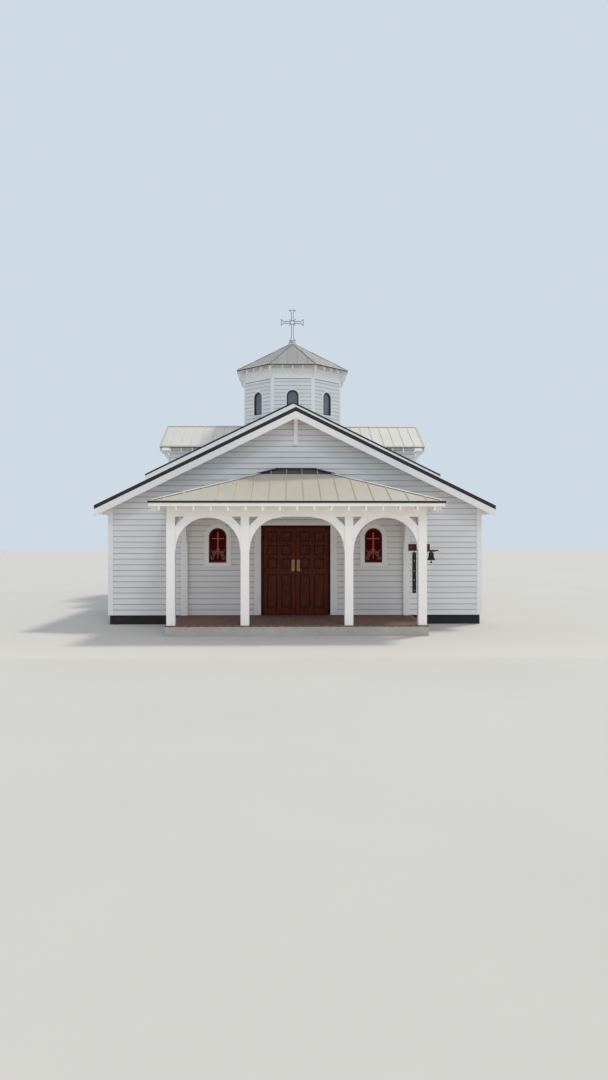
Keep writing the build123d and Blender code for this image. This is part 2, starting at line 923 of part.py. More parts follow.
# Doorway: a dark frame in the wall, white boards round it, and two panelled leaves
with BuildPart() as door_frame:
    block((-doorway_half, doorway_half), (0, jamb_depth), (floor_level, door_head))
    block(
        (jamb_width - doorway_half, doorway_half - jamb_width),
        (0, jamb_depth),
        (floor_level, door_head - jamb_width),
        Mode.SUBTRACT,
    )

with BuildPart() as door_casing:
    casing_x = doorway_half + door_casing_width
    block((-casing_x, casing_x), (-board_thickness, 0), (floor_level, door_head + door_casing_head))
    block((-doorway_half, doorway_half), (-board_thickness, 0), (floor_level, door_head), Mode.SUBTRACT)


def panel_rows():
    """Foot and head of each row of panels in a leaf, from the top row down."""
    head = leaf_foot + leaf_height - stile_width
    square = (leaf_width - 3 * stile_width) / 2
    rows = []
    for _ in range(3):
        rows.append((head - square, head))
        head -= square + mid_rail_height
    head -= lock_rail_height - mid_rail_height
    rows.append((leaf_foot + stile_width + lock_rail_height / 2, head))
    return rows


def leaf(side):
    """A leaf with raised and fielded panels on both faces; side is -1 on the left."""
    panel_width = (leaf_width - 3 * stile_width) / 2
    outer = leaf_setback
    inner = leaf_setback + leaf_thickness
    with BuildPart() as door:
        block(sorted((side * (leaf_hinge_x - leaf_width), side * leaf_hinge_x)), (outer, inner),
              (leaf_foot, leaf_foot + leaf_height))
        for column in range(2):
            near = leaf_hinge_x - leaf_width + stile_width + column * (panel_width + stile_width)
            ends = sorted((side * near, side * (near + panel_width)))
            for foot, head in panel_rows():
                for face_depth, way in ((outer, 1), (inner, -1)):
                    sunk = (face_depth, face_depth + way * panel_recess)
                    block(ends, sorted(sunk), (foot, head), Mode.SUBTRACT)
                    field = [
                        (ends[0] + panel_bevel, foot + panel_bevel),
                        (ends[1] - panel_bevel, foot + panel_bevel),
                        (ends[1] - panel_bevel, head - panel_bevel),
                        (ends[0] + panel_bevel, head - panel_bevel),
                    ]
                    raised = sorted((sunk[1], sunk[1] - way * panel_field_rise))
                    across(field, raised[0], raised[1])
    return door.part


def handle(side):
    """Plates on both faces of a leaf, each with an upright grip."""
    plate_near = meeting_clearance / 2 + handle_edge_distance
    plate_x = sorted((side * plate_near, side * (plate_near + handle_plate_width)))
    foot = floor_level + handle_plate_level
    middle_x = sum(plate_x) / 2
    grip_ends = (
        foot + (handle_plate_height - handle_grip_length) / 2,
        foot + (handle_plate_height + handle_grip_length) / 2,
    )
    with BuildPart() as pull:
        for face_depth, way in ((leaf_setback, -1), (leaf_setback + leaf_thickness, 1)):
            plate = sorted((face_depth, face_depth + way * handle_plate_thickness))
            block(plate_x, plate, (foot, foot + handle_plate_height))
            grip_y = y_at(face_depth + way * handle_grip_reach)
            base = Plane((middle_x, grip_y, grip_ends[0]))
            with BuildSketch(base) as grip_section:
                RegularPolygon(handle_grip_radius, 12)
            extrude(grip_section.sketch, amount=handle_grip_length)
            for end in grip_ends:
                inwards = handle_grip_radius if end == grip_ends[0] else -handle_grip_radius
                stem_plane = Plane.XZ.offset(-y_at(face_depth))
                with BuildSketch(stem_plane) as stem:
                    with Locations((middle_x, end + inwards)):
                        RegularPolygon(handle_grip_radius * 0.7, 8)
                extrude(stem.sketch, amount=-way * handle_grip_reach)
    return pull.part


hinge_feet = (
    leaf_foot + hinge_end_distance,
    leaf_foot + (leaf_height - hinge_height) / 2,
    leaf_foot + leaf_height - hinge_end_distance - hinge_height,
)


def hinge_plates(x, depth):
    """One plate at the level of each hinge, between two distances from the middle and two depths."""
    for foot in hinge_feet:
        block(sorted(x), depth, (foot, foot + hinge_height))


def leaf_hinge_halves(side):
    """Plates on a leaf's inner face that stop short of the barrels they turn about."""
    near = hinge_pin_x - hinge_pin_offset
    inner_face = leaf_setback + leaf_thickness
    with BuildPart() as halves:
        hinge_plates(
            (side * near, side * (near - hinge_plate_reach)),
            (inner_face, inner_face + hinge_plate_thickness),
        )
    return halves.part


with BuildPart() as jamb_hinges:
    for side in (-1, 1):
        hinge_plates(
            (side * jamb_face_x, side * (jamb_face_x - hinge_plate_thickness)),
            (hinge_pin_depth, hinge_pin_depth + hinge_plate_reach),
        )
        for foot in hinge_feet:
            with BuildSketch(Plane((side * hinge_pin_x, y_at(hinge_pin_depth), foot))) as barrel:
                Circle(hinge_pin_offset - hinge_running_clearance)
            extrude(barrel.sketch, amount=hinge_height)

with BuildPart() as door_leaf_left:
    add(leaf(-1))

with BuildPart() as door_leaf_right:
    add(leaf(1))

with BuildPart() as door_fittings_left:
    add(handle(-1))
    add(leaf_hinge_halves(-1))

with BuildPart() as door_fittings_right:
    add(handle(1))
    add(leaf_hinge_halves(1))

# Porch
post_half = post_size / 2
post_line = porch_front - post_half
with BuildPart() as porch_posts:
    post_levels = (floor_level, beam_foot)
    for x in (-porch_corner_post, -porch_inner_post, porch_inner_post, porch_corner_post):
        block((x - post_half, x + post_half), (-porch_front, post_size - porch_front), post_levels)
    for x in (-porch_corner_post, porch_corner_post):
        block((x - pilaster_width / 2, x + pilaster_width / 2), (-pilaster_reach, 0), post_levels)

with BuildPart() as porch_beams:
    beam_half = beam_thickness / 2
    block(
        (-porch_corner_post - beam_half, porch_corner_post + beam_half),
        (-post_line - beam_half, beam_half - post_line),
        (beam_foot, beam_top),
    )
    for side in (-1, 1):
        x = side * porch_corner_post
        block((x - beam_half, x + beam_half), (-post_line, 0), (beam_foot, beam_top))

# Each brace is a quarter arch from a post to the beam, with the corner behind it left open
side_bay_half = (porch_corner_post - porch_inner_post - post_size) / 2
brace_radius = side_bay_half - brace_toe


def brace_outline(plane):
    """Brace beside a post: the plane's origin is where post and beam meet, its x points into the bay."""
    spring = -brace_toe - brace_radius
    turns = [pi / 2 * step / brace_chords for step in range(brace_chords + 1)]
    curve = [(side_bay_half - brace_radius * sin(turn), spring + brace_radius * cos(turn)) for turn in turns]
    post_side = [(brace_toe, -brace_drop), (0, -brace_drop), (0, -brace_corner_hole)]
    beam_side = [(brace_corner_hole, 0), (side_bay_half, 0)]
    return outline(plane, curve + post_side + beam_side)


with BuildPart() as porch_braces:
    for side in (-1, 1):
        starts = (
            (side * (porch_inner_post - post_half), -side),
            (side * (porch_inner_post + post_half), side),
            (side * (porch_corner_post - post_half), -side),
        )
        for start_x, into_bay in starts:
            front_brace = Plane(
                origin=(start_x, y_at(-post_line), beam_foot),
                x_dir=(into_bay, 0, 0),
                z_dir=(0, -into_bay, 0),
            )
            extrude(brace_outline(front_brace), amount=brace_thickness / 2, both=True)
        for start_depth, into_bay in ((post_size - porch_front, 1), (-pilaster_reach, -1)):
            side_brace = Plane(
                origin=(side * porch_corner_post, y_at(start_depth), beam_foot),
                x_dir=(0, into_bay, 0),
                z_dir=(into_bay, 0, 0),
            )
            extrude(brace_outline(side_brace), amount=brace_thickness / 2, both=True)


def porch_front_level(depth, drop=0):
    """Level of the porch roof's front slope at a depth, which is negative."""
    return porch_eave_top + porch_front_slope * (depth + porch_eave_reach) - drop


def porch_side_level(x, drop=0):
    """Level of the porch roof's side slopes at a distance from the middle."""
    return porch_eave_top + porch_side_slope * (porch_eave_half_width - abs(x)) - drop


def porch_front_slab(upper, lower):
    """Section of the front slope between two depths below its upper face, as y and z."""
    return [
        (y_at(-porch_eave_reach), porch_front_level(-porch_eave_reach, upper)),
        (y_at(0), porch_front_level(0, upper)),
        (y_at(0), porch_front_level(0, lower)),
        (y_at(-porch_eave_reach), porch_front_level(-porch_eave_reach, lower)),
    ]


def porch_side_slab(side, upper, lower):
    """Section of a side slope between two depths below its upper face, as x and z."""
    return [
        (side * porch_eave_half_width, porch_side_level(porch_eave_half_width, upper)),
        (side * porch_ridge_half_width, porch_side_level(porch_ridge_half_width, upper)),
        (side * porch_ridge_half_width, porch_side_level(porch_ridge_half_width, lower)),
        (side * porch_eave_half_width, porch_side_level(porch_eave_half_width, lower)),
    ]


porch_front_plan = [
    (-porch_eave_half_width, y_at(-porch_eave_reach)),
    (porch_eave_half_width, y_at(-porch_eave_reach)),
    (porch_ridge_half_width, y_at(0)),
    (-porch_ridge_half_width, y_at(0)),
]


def porch_side_plan(side):
    """Plan of a side slope of the porch roof."""
    return [
        (side * porch_eave_half_width, y_at(-porch_eave_reach)),
        (side * porch_eave_half_width, y_at(0)),
        (side * porch_ridge_half_width, y_at(0)),
    ]


def over_both(plan):
    """Upright prisms over a plan drawn once for each side of the middle."""
    with BuildPart(mode=Mode.PRIVATE) as prisms:
        for side in (-1, 1):
            upright(plan(side), 0, high_above)
    return prisms.part


with BuildPart() as porch_roof_front:
    along(porch_front_slab(0, porch_deck_thickness), -porch_eave_half_width, porch_eave_half_width)
    upright(porch_front_plan, 0, high_above, Mode.INTERSECT)

with BuildPart() as porch_roof_sides:
    for side in (-1, 1):
        across(porch_side_slab(side, 0, porch_deck_thickness), -porch_eave_reach, 0)
    add(over_both(porch_side_plan), mode=Mode.INTERSECT)

# A narrow white board closes the rafters' upper ends all round the eave
board_out = porch_eave_half_width - fascia_setback
board_front = porch_eave_reach - fascia_setback
fascia_top = porch_eave_top - porch_deck_thickness
with BuildPart() as porch_fascia:
    block((-board_out, board_out), (-board_front, 0), (fascia_top - fascia_height, fascia_top))
    block(
        (fascia_thickness - board_out, board_out - fascia_thickness),
        (fascia_thickness - board_front, 0),
        (fascia_top - fascia_height, fascia_top),
        Mode.SUBTRACT,
    )

# Rafters: commons up the front slope, jacks up the sides, and a hip between them
rafter_outer = board_out - fascia_thickness
rafter_front = board_front - fascia_thickness
hip_run = (porch_eave_half_width - porch_ridge_half_width, porch_eave_reach)
hip_length = sqrt(hip_run[0] ** 2 + hip_run[1] ** 2)
hip_half_plan = tail_width / 2
# How far a slope's edge moves along the eave and up the wall when it clears the hip rafter
hip_inset_x = (hip_half_plan + hip_clearance) * hip_length / hip_run[1]
hip_inset_y = (hip_half_plan + hip_clearance) * hip_length / hip_run[0]


def rafter_region_front():
    """Plan of the front slope, held back from the hip rafters."""
    ridge = porch_ridge_half_width - hip_inset_x
    eave = porch_eave_half_width - hip_inset_x
    eave_y = y_at(-porch_eave_reach)
    return [(-eave, eave_y), (eave, eave_y), (ridge, y_at(0)), (-ridge, y_at(0))]


def rafter_region_side(side):
    """Plan of a side slope, held back from its hip rafter."""
    return [
        (side * porch_eave_half_width, y_at(hip_inset_y - porch_eave_reach)),
        (side * porch_eave_half_width, y_at(0)),
        (side * (porch_ridge_half_width + hip_inset_x), y_at(0)),
    ]


with BuildPart() as front_rafters:
    for x in spaced(-8 * rafter_spacing, 8 * rafter_spacing):
        along(
            porch_front_slab(porch_deck_thickness, porch_deck_thickness + porch_rafter_depth),
            x - tail_width / 2,
            x + tail_width / 2,
        )
    upright(rafter_region_front(), 0, high_above, Mode.INTERSECT)

with BuildPart() as side_rafters:
    for side in (-1, 1):
        for depth in spaced(-7 * rafter_spacing, -rafter_spacing):
            across(
                porch_side_slab(side, porch_deck_thickness, porch_deck_thickness + porch_rafter_depth),
                depth - tail_width / 2,
                depth + tail_width / 2,
            )
    add(over_both(rafter_region_side), mode=Mode.INTERSECT)

with BuildPart() as porch_rafters:
    add(front_rafters.part)
    add(side_rafters.part)
    block((-rafter_outer, rafter_outer), (-rafter_front, 0), (0, high_above), Mode.INTERSECT)
    block(
        (-porch_corner_post - beam_half, porch_corner_post + beam_half),
        (-post_line - beam_half, 0),
        (0, beam_top),
        Mode.SUBTRACT,
    )

# Bar on the corner post, notched over the brace, with a small bell and a hanging sounding iron
bar_x = porch_corner_post - bar_length * 0.6
bar_depth = post_size - porch_front
with BuildPart() as bell_bar:
    bar_thick = (bar_depth, bar_depth + bar_thickness)
    block((bar_x, bar_x + bar_length), bar_thick, (bar_level, bar_level + bar_height))
    add(porch_braces.part, mode=Mode.SUBTRACT)

hang_y = y_at(bar_depth + bar_thickness / 2)
with BuildPart() as semantron:
    iron_top = bar_level - hanger_length
    iron_x = porch_corner_post - semantron_offset
    iron_back = (iron_x, hang_y + semantron_thickness / 2, iron_top)
    with BuildSketch(Plane(iron_back, x_dir=(1, 0, 0), z_dir=(0, -1, 0))) as iron:
        with Locations((0, -semantron_length / 2)):
            SlotOverall(semantron_length, semantron_width, rotation=90)
    extrude(iron.sketch, amount=semantron_thickness)
    with BuildSketch(Plane((iron_x, hang_y, iron_top - semantron_thickness))) as hanger:
        Circle(hanger_radius)
    extrude(hanger.sketch, amount=hanger_length + semantron_thickness)

bell_top = bar_level - arm_size
bell_mouth = bell_top - bell_height
bell_shoulder = (bell_radius * 0.55, bell_top - bell_shoulder_height)
bell_flare = (bell_radius * 0.68, bell_mouth + bell_height * 0.3)
with BuildPart() as bell:
    bell_axis = (porch_corner_post + bell_offset, hang_y, 0)
    half_section = [
        (bell_radius, bell_mouth),
        bell_flare,
        bell_shoulder,
        (hanger_radius * 2, bell_top),
        (0, bell_top),
        (0, bell_shoulder[1] - bell_wall),
        (bell_shoulder[0] - bell_wall, bell_shoulder[1] - bell_wall),
        (bell_flare[0] - bell_wall, bell_flare[1]),
        (bell_radius - bell_wall, bell_mouth),
    ]
    half_bell = outline(Plane(bell_axis, x_dir=(1, 0, 0), z_dir=(0, -1, 0)), half_section)
    revolve(half_bell, axis=Axis(bell_axis, (0, 0, 1)))
    arm_x = (porch_corner_post - 0.1 * bar_length, porch_corner_post + bell_offset + bell_radius)
    block(
        arm_x,
        (bar_depth + (bar_thickness - arm_size) / 2, bar_depth + (bar_thickness + arm_size) / 2),
        (bar_level - arm_size, bar_level),
    )

# Cap and cross
cap_foot = lantern_apex - lantern_slope * lantern_cap_radius
cap_slope_height = lantern_cap_height - lantern_cap_rim
cap_lean = degrees(atan((lantern_cap_radius - lantern_cap_top_radius) / cap_slope_height))
with BuildPart() as lantern_cap:
    extrude(octagon(cap_foot, lantern_cap_radius), amount=lantern_cap_rim)
    extrude(octagon(cap_foot + lantern_cap_rim, lantern_cap_radius), amount=cap_slope_height, taper=cap_lean)
    add(lantern_roof.part, mode=Mode.SUBTRACT)
    add(under_lantern_roof.part, mode=Mode.SUBTRACT)


def cross_arm(length):
    """Outline of one flared arm that points up from the crossing of the bars."""
    return [
        (-cross_arm_half_width, 0),
        (-cross_arm_half_width, length - cross_flare_length),
        (-cross_flare_half_width, length),
        (cross_flare_half_width, length),
        (cross_arm_half_width, length - cross_flare_length),
        (cross_arm_half_width, 0),
    ]


cap_top = cap_foot + lantern_cap_height
cross_arms = (
    (0, cross_top - cross_bar_level),
    (90, cross_half_span),
    (180, cross_bar_level - cap_top),
    (270, cross_half_span),
)
with BuildPart() as cross:
    cross_plane = Plane((0, crossing_y, cross_bar_level), x_dir=(1, 0, 0), z_dir=(0, -1, 0))
    with BuildSketch(cross_plane) as frame:
        for turn, length in cross_arms:
            with BuildLine(Plane.XY.rotated((0, 0, turn))):
                Polyline(*cross_arm(length), close=True)
            make_face()
        offset(amount=-cross_bar_size, mode=Mode.SUBTRACT)
        Circle(cross_ring_radius)
        Circle(cross_ring_radius - cross_bar_size, mode=Mode.SUBTRACT)
        with PolarLocations((cross_ring_radius + cross_ray_length) / 2, 4, start_angle=45):
            Rectangle(cross_ray_length - cross_ring_radius + cross_bar_size, cross_bar_size)
    extrude(frame.sketch, amount=cross_bar_size / 2, both=True)

pieces = {
    "foundation": foundation,
    "floor_slab": floor_slab,
    "porch_floor": porch_floor,
    "front_wall_left": front_wall_left,
    "front_wall_right": front_wall_right,
    "front_gable": front_gable,
    "side_wall_left": side_wall_left,
    "side_wall_right": side_wall_right,
    "nave_wall_left": nave_wall_left,
    "nave_wall_right": nave_wall_right,
    "nave_front_gable": nave_front_gable,
    "rear_wall": rear_wall,
    "transept_cheeks": transept_cheeks,
    "front_roof_left": front_roof_left,
    "front_roof_right": front_roof_right,
    "nave_roof_left": nave_roof_left,
    "nave_roof_right": nave_roof_right,
    "transept_roof_front": transept_roof_front,
    "transept_roof_rear": transept_roof_rear,
    "bargeboards": bargeboards,
    "eave_rafter_tails": eave_rafter_tails,
    "gable_brackets": gable_brackets,
    "corner_boards": corner_boards,
    "lantern_walls_square": lantern_walls_square,
    "lantern_walls_diagonal": lantern_walls_diagonal,
    "lantern_trim": lantern_trim,
    "lantern_roof": lantern_roof,
    "lantern_rafter_tails": lantern_rafter_tails,
    "lantern_cap": lantern_cap,
    "cross": cross,
    "window_frames": window_frames,
    "window_glass": window_glass,
    "front_window_panes": front_window_panes,
    "window_casings": window_casings,
    "door_frame": door_frame,
    "door_casing": door_casing,
    "door_leaf_left": door_leaf_left,
    "door_leaf_right": door_leaf_right,
    "jamb_hinges": jamb_hinges,
    "door_fittings_left": door_fittings_left,
    "door_fittings_right": door_fittings_right,
    "porch_posts": porch_posts,
    "porch_beams": porch_beams,
    "porch_braces": porch_braces,
    "porch_roof_front": porch_roof_front,
    "porch_roof_sides": porch_roof_sides,
    "porch_fascia": porch_fascia,
    "porch_rafters": porch_rafters,
    "bell_bar": bell_bar,
    "bell": bell,
    "semantron": semantron,
}

os.makedirs("parts", exist_ok=True)
for name, piece in pieces.items():
    piece.part.label = name
    export_step(piece.part, f"parts/{name}.step")
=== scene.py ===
# %% [markdown]
# A small white church. The solids already give its walls, roofs, posts, windows and doors. What a carpenter
# and a roofer add on top is made here: lap boards, standing seams, flashings, bricks, window ornament and
# paint. The frame holds the solids in metres, with the ground at z = 0 and the entrance towards -Y.

# %% Load the frame
from math import ceil, cos, floor, pi, radians, sin, tan

import bmesh
import bpy
from mathutils import Matrix, Vector


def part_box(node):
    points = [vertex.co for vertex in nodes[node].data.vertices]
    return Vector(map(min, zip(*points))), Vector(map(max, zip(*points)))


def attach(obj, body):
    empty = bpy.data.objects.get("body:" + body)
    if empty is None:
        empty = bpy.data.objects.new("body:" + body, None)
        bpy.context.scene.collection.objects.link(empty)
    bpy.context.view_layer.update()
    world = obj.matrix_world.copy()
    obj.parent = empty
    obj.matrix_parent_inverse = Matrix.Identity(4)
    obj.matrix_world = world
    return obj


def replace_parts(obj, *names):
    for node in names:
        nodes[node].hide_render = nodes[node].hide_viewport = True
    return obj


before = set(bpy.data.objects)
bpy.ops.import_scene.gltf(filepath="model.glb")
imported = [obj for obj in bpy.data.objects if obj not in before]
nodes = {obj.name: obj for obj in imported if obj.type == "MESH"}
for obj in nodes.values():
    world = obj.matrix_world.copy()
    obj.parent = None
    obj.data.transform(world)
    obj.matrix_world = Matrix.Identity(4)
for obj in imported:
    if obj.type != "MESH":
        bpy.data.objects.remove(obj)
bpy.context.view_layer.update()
UP = Vector((0, 0, 1))

# %% [markdown]
# Trim has to meet the walls and roofs exactly. Their places could be typed in again, but read from the
# solids they stay true when a wall or a roof changes size, so only what no solid tells is a number of its
# own here.

# %% Where the building's faces and edges are
front_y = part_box("front_wall_left")[0].y
step_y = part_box("nave_front_gable")[0].y
rear_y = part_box("rear_wall")[1].y
front_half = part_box("side_wall_right")[1].x
nave_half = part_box("nave_wall_right")[1].x
floor_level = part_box("floor_slab")[1].z

same_place = 0.002
eave_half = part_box("front_roof_right")[1].x
front_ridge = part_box("front_roof_left")[1].z
eave_corners = [v.co for v in nodes["front_roof_right"].data.vertices if v.co.x > eave_half - same_place]
eave_top = max(corner.z for corner in eave_corners)
deck = eave_top - min(corner.z for corner in eave_corners)
roof_slope = (front_ridge - eave_top) / eave_half
nave_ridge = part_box("nave_roof_left")[1].z
transept_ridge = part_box("transept_roof_front")[1].z
front_rake_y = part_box("front_roof_left")[0].y
nave_rake_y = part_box("nave_roof_left")[0].y
rear_rake_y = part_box("nave_roof_left")[1].y
transept_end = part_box("transept_roof_front")[1].x
transept_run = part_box("transept_roof_front")[1].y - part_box("transept_roof_front")[0].y
transept_half = (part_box("transept_cheeks")[1].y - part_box("transept_cheeks")[0].y) / 2
crossing_y = (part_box("lantern_roof")[0].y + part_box("lantern_roof")[1].y) / 2
valley_shift = (nave_ridge - transept_ridge) / roof_slope
print("front wall at", round(front_y, 3), "crossing at", round(crossing_y, 3), "slope", round(roof_slope, 4))

# %% [markdown]
# The lantern is a regular octagon. Its apothem, the distance from the middle to a flat side, gives all its
# other sizes, so only that is read. A box doesn't tell how long a roof's highest edge is, so a helper looks
# for it.

# %% Where the lantern's and the porch's faces are
lantern_deck = 0.05
lantern_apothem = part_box("lantern_walls_square")[1].x
lantern_eave_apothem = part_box("lantern_roof")[1].x
lantern_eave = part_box("lantern_roof")[0].z + lantern_deck
lantern_middle = Vector((0, crossing_y, 0))
half_side_degrees = 22.5
half_face = tan(radians(half_side_degrees))
corner_reach = 1 / cos(radians(half_side_degrees))
frieze_height = 0.415
frieze_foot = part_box("lantern_trim")[1].z - frieze_height

porch_deck = 0.05
porch_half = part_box("porch_roof_front")[1].x
porch_eave_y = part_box("porch_roof_front")[0].y
porch_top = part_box("porch_roof_front")[1].z
porch_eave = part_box("porch_roof_front")[0].z + porch_deck


def reach_at_top(node):
    """How far from the middle a node's highest edge reaches."""
    corners = [v.co for v in nodes[node].data.vertices]
    top = max(corner.z for corner in corners)
    return max(abs(corner.x) for corner in corners if corner.z > top - same_place)


def eight_ways(first=0.0):
    """The eight directions out from the lantern's middle, starting at a turn in degrees."""
    turns = [radians(first + 45 * number) for number in range(8)]
    return [Vector((cos(turn), sin(turn), 0)) for turn in turns]


porch_ridge_half = reach_at_top("porch_roof_front")
lantern_neck = reach_at_top("lantern_roof") / corner_reach
lantern_slope = (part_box("lantern_roof")[1].z - lantern_eave) / (lantern_eave_apothem - lantern_neck)
print("porch ridge half", round(porch_ridge_half, 3), "lantern slope", round(lantern_slope, 3))

# %% [markdown]
# The camera stands 22.3 m in front of the entrance wall, a little left of the middle and 2.05 m above the
# porch floor. It could be aimed at the church, but a level camera keeps upright edges upright, so it is
# level and only turned 1.25 degrees to the right. The whole church is in view.

# %% Camera
camera = bpy.data.cameras.new("camera")
camera.sensor_fit = "VERTICAL"
camera.sensor_height = 36
camera.lens = 27.17
camera.clip_end = 200
viewer_x = -0.26
viewer_distance = 22.3
viewer_height = 2.05
viewer_turn = -1.25
viewer = bpy.data.objects.new("viewer", camera)
viewer.location = (viewer_x, front_y - viewer_distance, floor_level + viewer_height)
viewer.rotation_euler = (radians(90), 0, radians(viewer_turn))
bpy.context.scene.collection.objects.link(viewer)
bpy.context.scene.camera = viewer
print("lens", camera.lens)

# %% [markdown]
# The sun is high, behind the right shoulder of the church, so the roofs are bright and the entrance stands
# in open shade. A weak lamp high in front draws a thin line under each lap. A long warm lamp low in front
# throws light up under the porch and the eaves, which would otherwise be dark. One strong lamp could light
# it all, but the soft difference between the three is what makes white boards readable.

# %% Lamps
bpy.context.scene.view_settings.view_transform = "Standard"
for name, energy, spread, tilt in (
    ("high_lamp", 1.85, 8, (-22, 24, 0)),
    ("front_lamp", 0.4, 12, (40, 14, 0)),
):
    light = bpy.data.lights.new(name, "SUN")
    light.energy = energy
    light.angle = radians(spread)
    light.color = (1.0, 0.95, 0.88)
    lamp = bpy.data.objects.new(name, light)
    lamp.rotation_euler = [radians(turn) for turn in tilt]
    bpy.context.scene.collection.objects.link(lamp)
bounce_distance = 7.5
bounce_height = 0.75
bounce_tilt = 140
bounce = bpy.data.lights.new("low_bounce", "AREA")
bounce.shape = "RECTANGLE"
bounce.size = 14
bounce.size_y = 1.2
bounce.energy = 112
bounce.color = (1.0, 0.73, 0.42)
lamp = bpy.data.objects.new("low_bounce", bounce)
lamp.location = (0, front_y - bounce_distance, bounce_height)
lamp.rotation_euler = (radians(bounce_tilt), 0, 0)
lamp.visible_camera = False
bpy.context.scene.collection.objects.link(lamp)
print("lamps", len(bpy.data.lights))

# %% [markdown]
# Node trees are built by three helpers. Each node could be made, filled and linked by lines of its own, but
# with a helper one line says what a node is and what feeds it: a number, a colour, or another node's
# socket.

# %% Helpers for node trees
def feed(tree, socket, value):
    """Give a socket a value, or a link where the value is another node's socket."""
    if isinstance(value, bpy.types.NodeSocket):
        tree.links.new(value, socket)
    else:
        socket.default_value = value


def add_node(tree, kind, *inputs, **settings):
    """A shader node. Inputs are fed in order, and settings by name, with _ for a space."""
    made = tree.nodes.new("ShaderNode" + kind)
    for key, value in settings.items():
        label = key.replace("_", " ")
        if label in made.inputs:
            feed(tree, made.inputs[label], value)
        else:
            setattr(made, key, value)
    for number, value in enumerate(inputs):
        feed(tree, made.inputs[number], value)
    return made


def use_group(tree, group, **values):
    """A node group placed in a material, with its values."""
    placed = tree.nodes.new("ShaderNodeGroup")
    placed.node_tree = group
    for label, value in values.items():
        feed(tree, placed.inputs[label], value)
    return placed


print("node helpers ready")

# %% [markdown]
# The sky does two jobs: it lights the shaded side softly, and it is the pale backdrop behind the church.
# One background could do both, but then a brighter backdrop would also wash out the boards. Light Path
# tells the rays apart, so the camera, reflections and glass see the backdrop while everything else gets the
# soft glow.

# %% Sky and backdrop
sky = bpy.data.worlds.new("sky")
sky.use_nodes = True
bpy.context.scene.world = sky
tree = sky.node_tree
tree.nodes.clear()
glow = add_node(tree, "Background", Color=(0.8, 0.89, 1.0, 1), Strength=0.76)
backdrop = add_node(tree, "Background", Color=(0.62, 0.7, 0.78, 1), Strength=1.0)
rays = add_node(tree, "LightPath")
seen = rays.outputs["Is Camera Ray"]
for kind in ("Is Glossy Ray", "Is Transmission Ray"):
    seen = add_node(tree, "Math", seen, rays.outputs[kind], operation="MAXIMUM").outputs["Value"]
choose = add_node(tree, "MixShader", seen, glow.outputs["Background"], backdrop.outputs["Background"])
add_node(tree, "OutputWorld", Surface=choose.outputs["Shader"])
print("sky", glow.inputs["Strength"].default_value)

# %% [markdown]
# Paint, metal and stone are never one flat colour. The first effect is a mottle, a slow drift that lightens
# and darkens a colour. It could be painted on, but a noise in Object coordinates, which are metres in the
# building's own frame, fits every piece without unwrapping. Many finishes use it, so it is a node group.

# %% Mottle: a colour that drifts lighter and darker
def start_group(name, inputs, outputs):
    """An empty node group with its sockets, and its two end nodes."""
    group = bpy.data.node_groups.new(name, "ShaderNodeTree")
    for label, kind, value in inputs:
        socket = group.interface.new_socket(label, in_out="INPUT", socket_type="NodeSocket" + kind)
        socket.default_value = value
    for label, kind in outputs:
        group.interface.new_socket(label, in_out="OUTPUT", socket_type="NodeSocket" + kind)
    return group, group.nodes.new("NodeGroupInput").outputs, group.nodes.new("NodeGroupOutput").inputs


mottle, ins, outs = start_group(
    "mottle",
    [("Color", "Color", (0.5, 0.5, 0.5, 1)), ("Depth", "Float", 0.1), ("Scale", "Float", 1.0)],
    [("Color", "Color"), ("Mask", "Float")],
)
spot = add_node(mottle, "TexCoord").outputs["Object"]
broad = add_node(mottle, "TexNoise", Vector=spot, Scale=ins["Scale"], Detail=6.0, Roughness=0.6)
swing = add_node(mottle, "MapRange", Value=broad.outputs["Fac"], From_Min=0.3, From_Max=0.7)
darker = add_node(mottle, "Math", 1.0, ins["Depth"], operation="SUBTRACT")
lighter = add_node(mottle, "Math", 1.0, ins["Depth"], operation="ADD")
factor = add_node(
    mottle, "Mix", data_type="FLOAT",
    Factor=swing.outputs["Result"], A=darker.outputs["Value"], B=lighter.outputs["Value"],
)
shade = add_node(mottle, "VectorMath", ins["Color"], operation="SCALE", Scale=factor.outputs["Result"])
feed(mottle, outs["Color"], shade.outputs["Vector"])
feed(mottle, outs["Mask"], swing.outputs["Result"])
print("group", mottle.name)

# %% [markdown]
# The second effect is a grain: brush marks in paint, pores in wood, grit in stone. A Wave Texture would
# give rings that repeat. A noise whose coordinates are squeezed along one direction gives streaks that
# never do.

# %% Grain: fine streaks along a direction
grain, ins, outs = start_group(
    "grain", [("Stretch", "Vector", (1, 1, 1)), ("Scale", "Float", 10.0)], [("Mask", "Float")]
)
spot = add_node(grain, "TexCoord").outputs["Object"]
squeeze = add_node(grain, "VectorMath", spot, ins["Stretch"], operation="MULTIPLY")
streaks = add_node(
    grain, "TexNoise", Vector=squeeze.outputs["Vector"], Scale=ins["Scale"],
    Detail=8.0, Roughness=0.65, Distortion=0.4,
)
feed(grain, outs["Mask"], streaks.outputs["Fac"])
print("group", grain.name)
